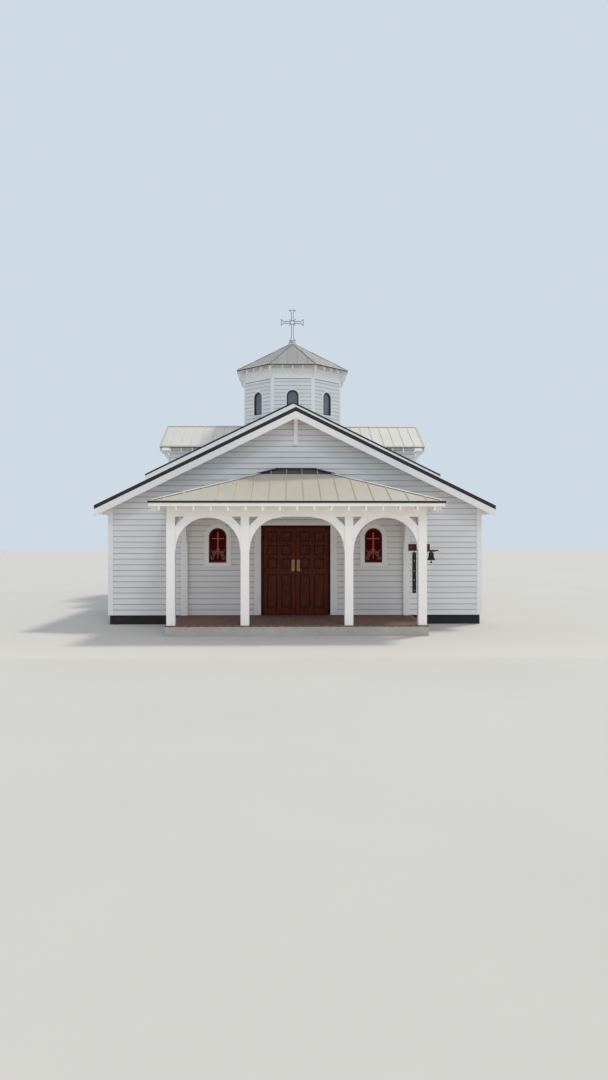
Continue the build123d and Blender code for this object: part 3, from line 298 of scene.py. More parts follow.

# %% [markdown]
# The third effect belongs to lap boards. One board has weathered a shade more than the next, and the top of
# each board is painted darker just under the lap above: painted shade, standing in for the shadow there.
# Each board could have a material of its own, but its number follows from its height, so one group divides
# the height by the course, takes a random tone from the whole part and the painted lap shade from the rest.

# %% Course tone: a random value for each board, and painted shade under each lap
course = 0.154
foot_share = 0.02
lap_shade_start = 0.84
lap_shade_full = 0.93
course_tone, ins, outs = start_group("course_tone", [], [("Mask", "Float"), ("LapShade", "Float")])
spot = add_node(course_tone, "TexCoord").outputs["Object"]
height = add_node(course_tone, "SeparateXYZ", spot).outputs["Z"]
first_foot = floor_level - course * foot_share
raised = add_node(course_tone, "Math", height, first_foot, operation="SUBTRACT").outputs["Value"]
counted = add_node(course_tone, "Math", raised, course, operation="DIVIDE").outputs["Value"]
whole = add_node(course_tone, "Math", counted, operation="FLOOR").outputs["Value"]
chance = add_node(course_tone, "TexWhiteNoise", noise_dimensions="1D", W=whole)
share = add_node(course_tone, "Math", counted, operation="FRACT").outputs["Value"]
# Painted shade: the top of each board darkens towards the butt of the board above, where the lap's shadow
# falls.
painted_lap_shade = add_node(
    course_tone, "MapRange", interpolation_type="SMOOTHSTEP",
    Value=share, From_Min=lap_shade_start, From_Max=lap_shade_full,
)
feed(course_tone, outs["Mask"], chance.outputs["Value"])
feed(course_tone, outs["LapShade"], painted_lap_shade.outputs["Result"])
print("group", course_tone.name)

# %% [markdown]
# Every finish starts with one Principled shader and then takes a few of the same steps: it scales its
# colour by a mask, blends two colours, lets a mask move the roughness, and turns a mask into a small relief.
# They could be copied into each material, but as functions they keep the materials short. The shader itself
# stays in the material.

# %% Steps that every material shares
def start_finish(name, roughness=0.5, metallic=0.0):
    """A new material with its Principled shader, and constants set on the shader's own sockets."""
    material = bpy.data.materials.new(name)
    material.use_nodes = True
    tree = material.node_tree
    shader = tree.nodes["Principled BSDF"]
    shader.inputs["Roughness"].default_value = roughness
    shader.inputs["Metallic"].default_value = metallic
    return material, tree, shader


def tint(tree, color, mask, dark, light):
    """Scale a colour between dark and light by a mask."""
    amount = add_node(tree, "MapRange", Value=mask, To_Min=dark, To_Max=light)
    scaled = add_node(tree, "VectorMath", color, operation="SCALE", Scale=amount.outputs["Result"])
    return scaled.outputs["Vector"]


def blend(tree, factor, first, second):
    """Blend two colours by a factor. A Mix node has its colours at 6 and 7, and their blend at 2."""
    mix = add_node(tree, "Mix", data_type="RGBA", Factor=factor)
    feed(tree, mix.inputs[6], first)
    feed(tree, mix.inputs[7], second)
    return mix.outputs[2]


def spread_roughness(tree, shader, mask, low, high):
    """Let a mask move the roughness between two values."""
    span = add_node(tree, "MapRange", Value=mask, To_Min=low, To_Max=high)
    feed(tree, shader.inputs["Roughness"], span.outputs["Result"])


def raise_relief(tree, shader, mask, strength, distance):
    """Bump from a mask, with distance in metres."""
    bump = add_node(tree, "Bump", Strength=strength, Distance=distance, Height=mask)
    feed(tree, shader.inputs["Normal"], bump.outputs["Normal"])


print("material steps ready")

# %% [markdown]
# The lap boards are painted white. Brush marks and the sawn face under the paint run along each board, a
# board here and there has weathered a shade more, and the paint is satin. One recipe makes all the paint,
# because only the direction of the grain and the shade of white differ from piece to piece.

# %% Painted boards and painted trim
board_white = (0.75, 0.765, 0.79, 1)
trim_white = (0.83, 0.835, 0.85, 1)


def painted_wood(name, color, stretch, depth, courses=False):
    """White paint over wood, with grain along one direction, and on lap boards a painted shade under each
    lap.
    """
    material, tree, shader = start_finish(name)
    broad = use_group(tree, mottle, Color=color, Depth=depth, Scale=0.9)
    streaks = use_group(tree, grain, Stretch=stretch, Scale=14.0).outputs["Mask"]
    paint = tint(tree, broad.outputs["Color"], streaks, dark=0.955, light=1.035)
    if courses:
        boards = use_group(tree, course_tone)
        paint = tint(tree, paint, boards.outputs["Mask"], dark=0.965, light=1.0)
        # Painted shade under each lap, which darkens the paint to half just below the butt of the board
        # above.
        paint = tint(tree, paint, boards.outputs["LapShade"], dark=1.0, light=0.5)
    feed(tree, shader.inputs["Base Color"], paint)
    spread_roughness(tree, shader, streaks, low=0.38, high=0.62)
    raise_relief(tree, shader, streaks, strength=0.25, distance=0.002)
    return material


siding_across = painted_wood("siding_across", board_white, stretch=(0.6, 8, 12), depth=0.03, courses=True)
siding_along = painted_wood("siding_along", board_white, stretch=(8, 0.6, 12), depth=0.03, courses=True)
plaster = painted_wood("inner_lining", (0.74, 0.73, 0.7, 1), stretch=(3, 3, 3), depth=0.05)
trim_upright = painted_wood("trim_upright", trim_white, stretch=(9, 9, 0.7), depth=0.03)
trim_level = painted_wood("trim_level", trim_white, stretch=(1.5, 1.5, 6), depth=0.03)
print("paint made")

# %% [markdown]
# The roofs are folded sheet metal in a light taupe. Wide pans are never quite flat, which shows as soft
# waves in the reflections, and the factory finish is satin with a fine dust on it. The underside of the
# same deck is painted wood. It could be a second material on chosen faces, but the solid is one loose mesh,
# so the finish looks at which way the face points instead.

# %% Roof metal
def roof_finish(name, color):
    """Satin sheet metal on faces that look up, painted boards on faces that look down."""
    material, tree, shader = start_finish(name, 0.42)
    pans = use_group(tree, mottle, Color=color, Depth=0.05, Scale=0.7)
    dust = use_group(tree, mottle, Color=(0.5, 0.5, 0.5, 1), Depth=0.5, Scale=9.0).outputs["Mask"]
    metal = tint(tree, pans.outputs["Color"], dust, dark=0.985, light=1.015)
    lining = use_group(tree, mottle, Color=(0.72, 0.7, 0.64, 1), Depth=0.05, Scale=3.0)
    facing = add_node(tree, "NewGeometry").outputs["True Normal"]
    upward = add_node(tree, "SeparateXYZ", facing).outputs["Z"]
    looks_up = add_node(tree, "Math", upward, 0.1, operation="GREATER_THAN")
    color = blend(tree, looks_up.outputs["Value"], lining.outputs["Color"], metal)
    feed(tree, shader.inputs["Base Color"], color)
    spread_roughness(tree, shader, dust, low=0.36, high=0.5)
    raise_relief(tree, shader, pans.outputs["Mask"], strength=0.12, distance=0.02)
    return material


roof_taupe = roof_finish("roof_taupe", (0.46, 0.41, 0.33, 1))
roof_light = roof_finish("roof_light", (0.6, 0.57, 0.52, 1))
roof_grey = roof_finish("roof_grey", (0.29, 0.275, 0.255, 1))
print("roof metal made")

# %% [markdown]
# Many finishes differ only in colour, scale and shine: concrete, coated steel, cast iron, brass, mortar.
# Each could have a tree of its own, but one recipe with a mottle, a fine speckle and a small relief serves
# them all. Black trim is coated steel, the porch slab is pale concrete, the foundation is dark concrete.
# Each line gives a colour, how far it drifts, how fine the drift is, the range of the roughness, the relief
# in metres, and how metallic it is.

# %% Stone, coated steel and other mottled finishes
def mottled(name, color, depth, scale, rough, relief=0.0005, metallic=0.0):
    """A finish that drifts and speckles, with a small relief of its own scale."""
    material, tree, shader = start_finish(name, rough[0], metallic)
    broad = use_group(tree, mottle, Color=color, Depth=depth, Scale=scale)
    speckle = use_group(tree, grain, Scale=scale * 12).outputs["Mask"]
    tone = tint(tree, broad.outputs["Color"], speckle, dark=1 - depth, light=1 + depth)
    feed(tree, shader.inputs["Base Color"], tone)
    spread_roughness(tree, shader, speckle, low=rough[0], high=rough[1])
    raise_relief(tree, shader, speckle, strength=0.4, distance=relief)
    return material


black_trim = mottled("black_trim", (0.006, 0.007, 0.009, 1), 0.2, 2.0, (0.45, 0.6))
apron_metal = mottled("apron_metal", (0.035, 0.037, 0.036, 1), 0.1, 2.0, (0.45, 0.6))
dark_concrete = mottled("dark_concrete", (0.02, 0.02, 0.019, 1), 0.25, 2.5, (0.8, 0.95), 0.003)
pale_concrete = mottled("pale_concrete", (0.4, 0.39, 0.37, 1), 0.12, 3.0, (0.75, 0.92), 0.002)
inner_floor = mottled("inner_floor", (0.24, 0.21, 0.18, 1), 0.12, 1.5, (0.45, 0.65), 0.001)
mortar = mottled("mortar", (0.16, 0.14, 0.125, 1), 0.2, 12.0, (0.85, 0.95), 0.002)
window_black = mottled("window_black", (0.014, 0.014, 0.017, 1), 0.15, 6.0, (0.3, 0.45))
cross_steel = mottled("cross_steel", (0.06, 0.09, 0.15, 1), 0.12, 14.0, (0.4, 0.55), 0.0003, 0.3)
black_iron = mottled("black_iron", (0.02, 0.02, 0.022, 1), 0.3, 20.0, (0.45, 0.7), 0.0008, 0.6)
aged_brass = mottled("aged_brass", (0.27, 0.18, 0.1, 1), 0.2, 25.0, (0.35, 0.55), 0.0003, 1.0)
print("plain finishes made")

# %% [markdown]
# The doors are a dark red stained hardwood under varnish, with long grain. Each stile, rail and panel could
# have its own direction, but stiles and panels run upright, and they are most of what shows, so one
# direction serves. The bar on the porch post is a lighter oiled wood along X.

# %% Varnished wood
def varnished_wood(name, dark, light, stretch, rough):
    """Long grain between two colours, under a clear coat."""
    material, tree, shader = start_finish(name)
    rings = use_group(tree, grain, Stretch=stretch, Scale=5.0)
    pores = use_group(tree, grain, Stretch=stretch, Scale=38.0).outputs["Mask"]
    spread = add_node(tree, "MapRange", Value=rings.outputs["Mask"], From_Min=0.35, From_Max=0.65)
    wood = blend(tree, spread.outputs["Result"], dark, light)
    feed(tree, shader.inputs["Base Color"], tint(tree, wood, pores, dark=0.75, light=1.25))
    spread_roughness(tree, shader, pores, low=rough[0], high=rough[1])
    raise_relief(tree, shader, pores, strength=0.2, distance=0.0008)
    shader.inputs["Specular IOR Level"].default_value = 0.08
    shader.inputs["Coat Weight"].default_value = 0.03
    shader.inputs["Coat Roughness"].default_value = 0.2
    return material


upright_grain = (9, 9, 0.8)
door_wood = varnished_wood(
    "door_wood", (0.05, 0.006, 0.002, 1), (0.13, 0.026, 0.009, 1), upright_grain, (0.32, 0.5)
)
# A near-black copy of the door wood is painted shade: it darkens the panel grooves and the door frame's
# reveal.
painted_shade_wood = varnished_wood(
    "painted_shade_wood", (0.016, 0.003, 0.002, 1), (0.04, 0.008, 0.004, 1), upright_grain, (0.4, 0.6)
)
bar_wood = varnished_wood(
    "bar_wood", (0.04, 0.012, 0.009, 1), (0.1, 0.035, 0.022, 1), (0.9, 9, 9), (0.45, 0.65)
)
print("woods made")

# %% [markdown]
# Window glass mirrors the sky, so it looks grey-blue. The panes beside the doors are a deep red. Clear
# glass would need a furnished room behind it. Seen from outside by day a window is dark, so both are a dark
# base under a smooth surface, with a faint waviness that bends the reflections.

# %% Glass
def dark_glass(name, color, roughness, specular, coat):
    """Smooth dark glass with a slight wave."""
    material, tree, shader = start_finish(name, roughness)
    broad = use_group(tree, mottle, Color=color, Depth=0.2, Scale=2.2)
    feed(tree, shader.inputs["Base Color"], broad.outputs["Color"])
    raise_relief(tree, shader, broad.outputs["Mask"], strength=0.15, distance=0.004)
    shader.inputs["Specular IOR Level"].default_value = specular
    shader.inputs["Coat Weight"].default_value = coat
    shader.inputs["Coat Roughness"].default_value = 0.05
    return material


sky_glass = dark_glass("sky_glass", (0.12, 0.14, 0.18, 1), roughness=0.12, specular=0.4, coat=0.15)
red_glass = dark_glass("red_glass", (0.085, 0.001, 0.002, 1), roughness=0.35, specular=0.02, coat=0.0)
red_border = mottled("red_border", (0.03, 0.001, 0.002, 1), 0.2, 6.0, (0.5, 0.7))
bolt_zinc = mottled("bolt_zinc", (0.5, 0.5, 0.48, 1), 0.15, 30.0, (0.35, 0.5), 0.0002, 0.5)
lead_line = mottled("lead_line", (0.3, 0.13, 0.13, 1), 0.12, 30.0, (0.4, 0.6))
print("glass made")

# %% [markdown]
# Bricks of one firing differ from brick to brick. Hundreds of materials could do that, but a Brick Texture
# with the same sizes as the laid bricks gives each one its own tone, from red-brown to a greyed brown.

# %% Brick
brick_length = 0.203
brick_width = 0.097
brick_joint = 0.009
brick_clay, tree, shader = start_finish("brick_clay", 0.8)
spot = add_node(tree, "TexCoord").outputs["Object"]
turned = add_node(tree, "Mapping", Vector=spot, Rotation=(0, 0, radians(-90))).outputs["Vector"]
layout = add_node(
    tree, "TexBrick", offset=0.5, squash=1.0, Vector=turned, Scale=1.0, Mortar_Size=0.0,
    Color1=(0.19, 0.072, 0.05, 1), Color2=(0.12, 0.08, 0.065, 1), Mortar=(0.16, 0.075, 0.056, 1),
    Brick_Width=brick_length + brick_joint, Row_Height=brick_width + brick_joint,
)
soot = use_group(tree, grain, Scale=60.0).outputs["Mask"]
feed(tree, shader.inputs["Base Color"], tint(tree, layout.outputs["Color"], soot, dark=0.7, light=1.3))
spread_roughness(tree, shader, soot, low=0.7, high=0.95)
raise_relief(tree, shader, soot, strength=0.5, distance=0.001)
print("brick made")

# %% [markdown]
# Now the solids get their finishes. A list of solids for each finish is easier to check than a line for
# each solid. Walls show their inner lining only, because lap boards cover the outside.

# %% Finishes on the solids
finishes = {
    roof_taupe: ["porch_roof_front", "porch_roof_sides"],
    roof_light: [
        "front_roof_left", "front_roof_right", "nave_roof_left", "nave_roof_right", "transept_roof_front",
        "transept_roof_rear",
    ],
    roof_grey: ["lantern_roof", "lantern_cap"],
    plaster: [
        "front_wall_left", "front_wall_right", "front_gable", "side_wall_left", "side_wall_right",
        "nave_wall_left", "nave_wall_right", "nave_front_gable", "rear_wall", "transept_cheeks",
        "lantern_walls_square", "lantern_walls_diagonal",
    ],
    trim_level: [
        "bargeboards", "eave_rafter_tails", "lantern_rafter_tails", "porch_beams", "porch_braces",
        "porch_fascia", "porch_rafters", "gable_brackets",
    ],
    trim_upright: ["corner_boards", "lantern_trim", "window_casings", "door_casing", "porch_posts"],
    dark_concrete: ["foundation"],
    inner_floor: ["floor_slab"],
    window_black: ["window_frames"],
    sky_glass: ["window_glass"],
    red_glass: ["front_window_panes"],
    door_wood: ["door_leaf_left", "door_leaf_right"],
    # The door frame takes the near-black wood, as painted shade in its reveal.
    painted_shade_wood: ["door_frame"],
    aged_brass: ["jamb_hinges", "door_fittings_left", "door_fittings_right"],
    cross_steel: ["cross"],
    black_iron: ["bell", "semantron"],
    bar_wood: ["bell_bar"],
}
for material, names in finishes.items():
    for name in names:
        nodes[name].data.materials.clear()
        nodes[name].data.materials.append(material)
print("finished solids:", sum(len(names) for names in finishes.values()))

# %% [markdown]
# Almost all the trim is either a squared bar between two points or a flat outline carried along a
# direction. Modifiers could make both, but a bmesh lets many bars share one mesh, so a whole roof's seams
# are one piece. A last helper turns a bmesh into a piece that rides with the building.

# %% Helpers for shapes
def new_verts(parts):
    """The vertices among the parts that an operator hands back."""
    return [part for part in parts if isinstance(part, bmesh.types.BMVert)]


def add_bar(bm, start, end, width, height, up):
    """A squared bar that lies on the line from start to end and rises along up."""
    along = (end - start).normalized()
    side = up.cross(along).normalized()
    rise = along.cross(side)
    turn = Matrix((along, side, rise)).transposed().to_4x4()
    middle = Matrix.Translation((start + end) / 2 + rise * height / 2)
    size = Matrix.Diagonal(((end - start).length, width, height, 1))
    bmesh.ops.create_cube(bm, size=1, matrix=middle @ turn @ size)


def add_prism(bm, corners, run):
    """Close an outline and carry it along run."""
    face = bm.faces.new([bm.verts.new(corner) for corner in corners])
    grown = bmesh.ops.extrude_face_region(bm, geom=[face])["geom"]
    bmesh.ops.translate(bm, vec=run, verts=new_verts(grown))


def finish_piece(name, bm, material, body="building"):
    """Turn a bmesh into a piece that rides with a body and takes a slot's finish."""
    bmesh.ops.recalc_face_normals(bm, faces=bm.faces)
    open_edges = sum(1 for edge in bm.edges if edge.is_boundary)
    mesh = bpy.data.meshes.new(name)
    bm.to_mesh(mesh)
    bm.free()
    mesh.materials.append(material)
    piece = bpy.data.objects.new(name, mesh)
    bpy.context.scene.collection.objects.link(piece)
    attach(piece, body)
    print(f"{name}: {len(mesh.polygons)} faces, {open_edges} open edges")
    return piece


print("shape helpers ready")

# %% [markdown]
# Boards, mouldings and holes are all laid out on a wall, seen from outside: so far across and so far up.
# Each shape could be turned into its wall by hand, but one matrix for a wall does it for all of them. A
# second helper gives the edges of an outline as cutting planes, which is what bisect_plane asks for.

# %% Places and outlines on a wall
hair = 1e-5
spot_digits = 4


def wall_place(origin, out):
    """Local axes of a wall: x out of it, y across it to the right seen from outside, z up."""
    return Matrix.Translation(origin) @ Matrix((out, UP.cross(out), UP)).transposed().to_4x4()


def edge_planes(place, corners):
    """Each edge of a convex outline in a wall as a point and a normal that points out of it."""
    centre = [sum(values) / len(corners) for values in zip(*corners)]
    planes = []
    for (a_across, a_up), (b_across, b_up) in zip(corners, corners[1:] + corners[:1]):
        normal = Vector((0, b_up - a_up, a_across - b_across)).normalized()
        if normal.y * (centre[0] - a_across) + normal.z * (centre[1] - a_up) > 0:
            normal.negate()
        planes.append((place @ Vector((0, a_across, a_up)), (place.to_3x3() @ normal).normalized()))
    return planes


def bounds_of(corners):
    """Lowest and highest value both ways of a flat outline."""
    across, up = zip(*corners)
    return min(across), max(across), min(up), max(up)


print("cuts are exact to", hair, "m")

# %% [markdown]
# A board shows solid wood wherever it is sawn, so what a cut leaves open is closed again. The end of a board
# is one open outline, which holes_fill can close. Round a window it would bridge the wrong edges, so there
# each front edge of the cut is joined to the back edge behind it.

# %% Close what a cut leaves open
def close_ends(bm):
    """Fill the open ends that a cut leaves."""
    bmesh.ops.holes_fill(bm, edges=[edge for edge in bm.edges if edge.is_boundary], sides=0)


def close_cut(bm, back):
    """Join each front edge of a cut to the back edge at the same place across and up."""
    pairs = {}
    for edge in [edge for edge in bm.edges if edge.is_boundary]:
        ends = [back @ v.co for v in edge.verts]
        spots = sorted((round(end.y, spot_digits), round(end.z, spot_digits)) for end in ends)
        if spots[0] != spots[1]:
            pairs.setdefault(tuple(spots), []).append(edge)
    for pair in pairs.values():
        if len(pair) == 2:
            bmesh.ops.contextual_create(bm, geom=pair)
    close_ends(bm)


print("cuts can be closed")

# %% [markdown]
# A carpenter cuts each board round a window. A Boolean could do the same, but it leaves slivers on boards
# this thin. Here bisect_plane scores the boards along each edge of the hole, the scored faces inside it are
# deleted, and the cut is closed, so that every board stays closed.

# %% Cut a hole in the boards
def faces_near(bm, back, corners):
    """The faces that reach into the rectangle round an outline."""
    left, right, low, high = bounds_of(corners)
    near = []
    for face in bm.faces:
        spots = [back @ v.co for v in face.verts]
        if min(s.y for s in spots) < right and max(s.y for s in spots) > left:
            if min(s.z for s in spots) < high and max(s.z for s in spots) > low:
                near.append(face)
    return near


def cut_hole(bm, place, corners):
    """Take everything inside a convex outline out of the boards."""
    back = place.inverted()
    planes = edge_planes(place, corners)
    for point, normal in planes:
        near = faces_near(bm, back, corners)
        edges = {edge for face in near for edge in face.edges}
        verts = {vert for face in near for vert in face.verts}
        geom = list(verts) + list(edges) + near
        bmesh.ops.bisect_plane(bm, geom=geom, dist=hair, plane_co=point, plane_no=normal)
    inside = []
    for face in bm.faces:
        centre = face.calc_center_median()
        if all((centre - point).dot(normal) < -hair for point, normal in planes):
            inside.append(face)
    bmesh.ops.delete(bm, geom=inside, context="FACES")
    close_cut(bm, back)


print("hole cutter ready")

# %% [markdown]
# A lap board is a long wedge, thick at its foot and thin where the next board covers it. An Array modifier
# could stack one board, but the boards of a gable all differ in length. So whole lengths are made first,
# and bisect_plane then trims them all to the wall's outline, as a carpenter saws along the roof's slope.

# %% Lap boards on a stretch of wall
butt = 0.017
feather = 0.004


def add_lap_boards(bm, origin, out, corners, holes=()):
    """Lap boards over a convex stretch of wall. Corners and holes are across and up from the origin."""
    place = wall_place(origin, out)
    left, right, low, high = bounds_of(corners)
    wall = bmesh.new()
    for number in range(floor((low - floor_level) / course), ceil((high - floor_level) / course)):
        foot = floor_level + number * course
        middle = place @ Matrix.Translation((butt / 2, (left + right) / 2, foot + course / 2))
        size = Matrix.Diagonal((butt, right - left, course, 1))
        board = bmesh.ops.create_cube(wall, size=1, matrix=middle @ size)["verts"]
        upper = [v for v in board if v.co.z > foot + course / 2 and (v.co - origin).dot(out) > butt / 2]
        bmesh.ops.translate(wall, vec=-out * (butt - feather), verts=upper)
    for point, normal in edge_planes(place, corners):
        geom = wall.verts[:] + wall.edges[:] + wall.faces[:]
        bmesh.ops.bisect_plane(
            wall, geom=geom, dist=hair, plane_co=point, plane_no=normal, clear_outer=True
        )
        close_ends(wall)
    for hole in holes:
        cut_hole(wall, place, hole)
    copy = bpy.data.meshes.new("boards")
    wall.to_mesh(copy)
    wall.free()
    bm.from_mesh(copy)
    bpy.data.meshes.remove(copy)


print("boards", butt, "thick at the foot, courses of", course)

# %% [markdown]
# Boards stop at the casing of a door or window and not at the glass, so each hole is the opening grown by
# part of its casing's width. The windows have round heads. A circle could be cut as one, but ten short
# edges look round at this size and stay convex, which the cutter needs.

# %% Outlines of the window and door openings
window_half = 0.245
window_spring = 0.95 - window_half
sill_level = 1.68
lantern_sill = 7.43
front_window_x = 2.13
front_window_y = (2.7, 5.9)


def arch_outline(middle, sill, grow, below=0.0, steps=10):
    """A round-headed outline in a wall, grown beyond the opening."""
    radius = window_half + grow
    turns = [pi * step / steps for step in range(steps + 1)]
    head = [(middle + radius * cos(turn), sill + window_spring + radius * sin(turn)) for turn in turns]
    return [(middle - radius, sill - below), (middle + radius, sill - below)] + head


def wall_hole(middle):
    """The hole for a wall window, whose edge is hidden under the flat casing."""
    return arch_outline(middle, sill_level, grow=0.06, below=0.05)


door_lap = 0.07
head_lap = 0.04
threshold_drop = 0.1
door_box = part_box("door_casing")
door_edge = door_box[1].x - door_lap
door_head = door_box[1].z - head_lap
door_foot = floor_level - threshold_drop
door_hole = [(-door_edge, door_foot), (door_edge, door_foot), (door_edge, door_head), (-door_edge, door_head)]
print("doorway casing reaches", round(door_box[1].x, 3))

# %% [markdown]
# The entrance wall's boards run from one corner board to the other and up into the gable. Wall and gable
# could be boarded apart, but one outline keeps the courses level across both.

# %% Boards on the entrance wall
corner_gap = 0.02


def roof_under(ridge, run):
    """Level of a main deck's lower face at a distance from its ridge."""
    return ridge - roof_slope * abs(run) - deck


def gable_outline(half, ridge):
    """A gable wall between its corner boards, from the floor to the underside of the roof."""
    reach = half - corner_gap
    shoulder = roof_under(ridge, half)
    peak = (0, roof_under(ridge, 0))
    return [(-reach, floor_level), (reach, floor_level), (reach, shoulder), peak, (-reach, shoulder)]


boards = bmesh.new()
front_holes = [door_hole, wall_hole(-front_window_x), wall_hole(front_window_x)]
front_outline = gable_outline(front_half, front_ridge)
add_lap_boards(boards, Vector((0, front_y, 0)), Vector((0, -1, 0)), front_outline, front_holes)
finish_piece("entrance_wall_boards", boards, siding_across)

# %% [markdown]
# The other walls that face front or back are the plain rear wall, the band of the nave that shows above the
# front roof, and the small cheeks beside the cross gables. The band and the cheeks are not convex with the
# rest of their wall, so each gets an outline of its own, mirrored from one side to the other.

# %% Boards on the rear wall, the nave's front gable and the cheeks
boards = bmesh.new()
rear_outline = gable_outline(nave_half, nave_ridge)
add_lap_boards(boards, Vector((0, rear_y, 0)), Vector((0, 1, 0)), rear_outline)
nave_reach = nave_half - corner_gap
for side in (-1, 1):
    band = [
        (0, front_ridge), (side * nave_reach, front_ridge - roof_slope * nave_reach),
        (side * nave_reach, roof_under(nave_ridge, nave_half)), (0, roof_under(nave_ridge, 0)),
    ]
    add_lap_boards(boards, Vector((0, step_y, 0)), Vector((0, -1, 0)), band)
    for way in (-1, 1):
        cheek_level = roof_under(transept_ridge, transept_half)
        inner = (nave_ridge - cheek_level) / roof_slope
        outer_level = nave_ridge - roof_slope * nave_reach
        cheek = [(inner, cheek_level), (nave_reach, outer_level), (nave_reach, cheek_level)]
        mirrored = [(side * -way * x, level) for x, level in cheek]
        origin = Vector((0, crossing_y + way * transept_half, 0))
        add_lap_boards(boards, origin, Vector((0, way, 0)), mirrored)
finish_piece("cross_wall_boards", boards, siding_across)

# %% [markdown]
# The long walls have round-headed windows, two in the front section and one under each cross gable. A
# second stretch of boards carries the courses on up into the cross gable. Left and right could be mirrored
# copies, but a loop over the two sides keeps the faces outwards without a repair.

# %% Boards on the long walls
front_windows = [front_y + depth for depth in front_window_y]
shoulder = roof_under(transept_ridge, transept_half)
gable_foot = roof_under(nave_ridge, nave_half)
boards = bmesh.new()
for side in (-1, 1):
    out = Vector((side, 0, 0))
    for half, ridge, ends, windows in (
        (front_half, front_ridge, (front_y + corner_gap, step_y), front_windows),
        (nave_half, nave_ridge, (step_y, rear_y - corner_gap), [crossing_y]),
    ):
        left, right = sorted(side * y for y in ends)
        top = roof_under(ridge, half)
        stretch = [(left, floor_level), (right, floor_level), (right, top), (left, top)]
        add_lap_boards(boards, out * half, out, stretch, [wall_hole(side * y) for y in windows])
    left, right = side * crossing_y - transept_half, side * crossing_y + transept_half
    gable = [
        (left, gable_foot), (right, gable_foot), (right, shoulder),
        (side * crossing_y, roof_under(transept_ridge, 0)), (left, shoulder),
    ]
    add_lap_boards(boards, out * nave_half, out, gable)
finish_piece("long_wall_boards", boards, siding_along)

# %% [markdown]
# Each side of the lantern has its own short boards between the corner boards, below the plain frieze. They
# reach down past the roofs that hide their feet, further on the four diagonal sides, which stand over the
# valleys. They could be scribed to the roofs, but what lies under a roof never shows.

# %% Boards on the lantern
corner_board = 0.055
frieze_lap = 0.02
feet = (6.95, 6.3)
inner_half = lantern_apothem * half_face - corner_board
board_top = frieze_foot + frieze_lap
lantern_hole = arch_outline(0, lantern_sill, grow=0.02, below=0.015)
boards = bmesh.new()
for number, out in enumerate(eight_ways()):
    foot = feet[number % 2]
    stretch = [(-inner_half, foot), (inner_half, foot), (inner_half, board_top), (-inner_half, board_top)]
    add_lap_boards(boards, lantern_middle + out * lantern_apothem, out, stretch, [lantern_hole])
finish_piece("lantern_boards", boards, siding_across)

# %% [markdown]
# Where the boards run up behind the frieze, a thin line of shadow shows. A thin black bar just under the
# frieze paints that shadow. Darker paint on the boards could suggest it too, but the bar is sharp from every
# side.

# %% Painted shadow line under the lantern's frieze
shadow_line_deep = 0.02
shadow_line_high = 0.012
frieze_shadow_line = bmesh.new()
for out in eight_ways():
    middle = lantern_middle + UP * (frieze_foot - shadow_line_high) + out * (lantern_apothem + shadow_line_deep / 2)
    half = UP.cross(out) * inner_half
    add_bar(frieze_shadow_line, middle - half, middle + half, shadow_line_deep, shadow_line_high, UP)
# The bar is painted shadow, in the black of the window frames.
finish_piece("frieze_shadow_line", frieze_shadow_line, window_black)

# %% [markdown]
# Standing seams are the upright folds where two roof sheets meet. They run from the eave to the ridge, and
# a hip, a valley or the lantern cuts them short. Each seam could be cut with planes, but its two ends are
# simply where its line crosses the roof's outline in plan, so they are worked out there and lifted onto the
# slope.

# %% Seams on a roof plane
seam_height = 0.03
seam_width = 0.014
seam_spacing = 0.406
shortest_seam = 0.12
seam_end = 0.02
first_seam = 0.2


def crossings(plan, place, line):
    """Where a straight line crosses a plan outline. The line has one coordinate fixed: 0 is x and 1 is y."""
    other = 1 - line
    found = []
    for start, end in zip(plan, plan[1:] + plan[:1]):
        low, high = sorted((start[line], end[line]))
        if low <= place < high:
            share = (place - start[line]) / (end[line] - start[line])
            found.append(start[other] + share * (end[other] - start[other]))
    return sorted(found)


def add_seams(bm, plan, line, places, level):
    """Seams over a roof's plan, at each place, on the surface that level(x, y) gives."""
    for place in places:
        ends = crossings(plan, place, line)
        for start, end in zip(ends[::2], ends[1::2]):
            spots = [(place, start), (place, end)] if line == 0 else [(start, place), (end, place)]
            a, b = [Vector((x, y, level(x, y))) for x, y in spots]
            if (b - a).length > shortest_seam:
                trimmed = (b - a).normalized() * seam_end
                add_bar(bm, a + trimmed, b - trimmed, seam_width, seam_height, UP)


def places_between(start, end, first=first_seam):
    """Seam places at the usual spacing from one edge to short of the other."""
    count = int((end - start - first) / seam_spacing)
    return [start + first + number * seam_spacing for number in range(count + 1)]


print("seams every", seam_spacing, "m")

# %% [markdown]
# The front roof is a plain rectangle in plan on each side of its ridge. The nave's slopes and the cross
# gables' slopes meet in valleys, and a valley ends where it meets the lantern. That corner could be read
# off a solid, but it follows from the slopes: both roofs are equally high there, on a line square to a
# diagonal side.

# %% Levels of the main roofs and the valley's corner
octagon_half = lantern_apothem * half_face
octagon_diagonal = lantern_apothem * 2 ** 0.5
valley = ((octagon_diagonal + valley_shift) / 2, (octagon_diagonal - valley_shift) / 2)


def front_level(x, y):
    """Level of the front roof."""
    return front_ridge - roof_slope * abs(x)


def nave_level(x, y):
    """Level of the nave's roof."""
    return nave_ridge - roof_slope * abs(x)


def transept_level(x, y):
    """Level of the cross gables' roof."""
    return transept_ridge - roof_slope * abs(y - crossing_y)


print("valley's corner", [round(value, 3) for value in valley])

# %% [markdown]
# Ten stretches of roof could each have their seams written out, but an outline for one side or one quarter
# of the building, mirrored into the others, gives them all. The seams keep clear of the ridge, where the
# cap goes.

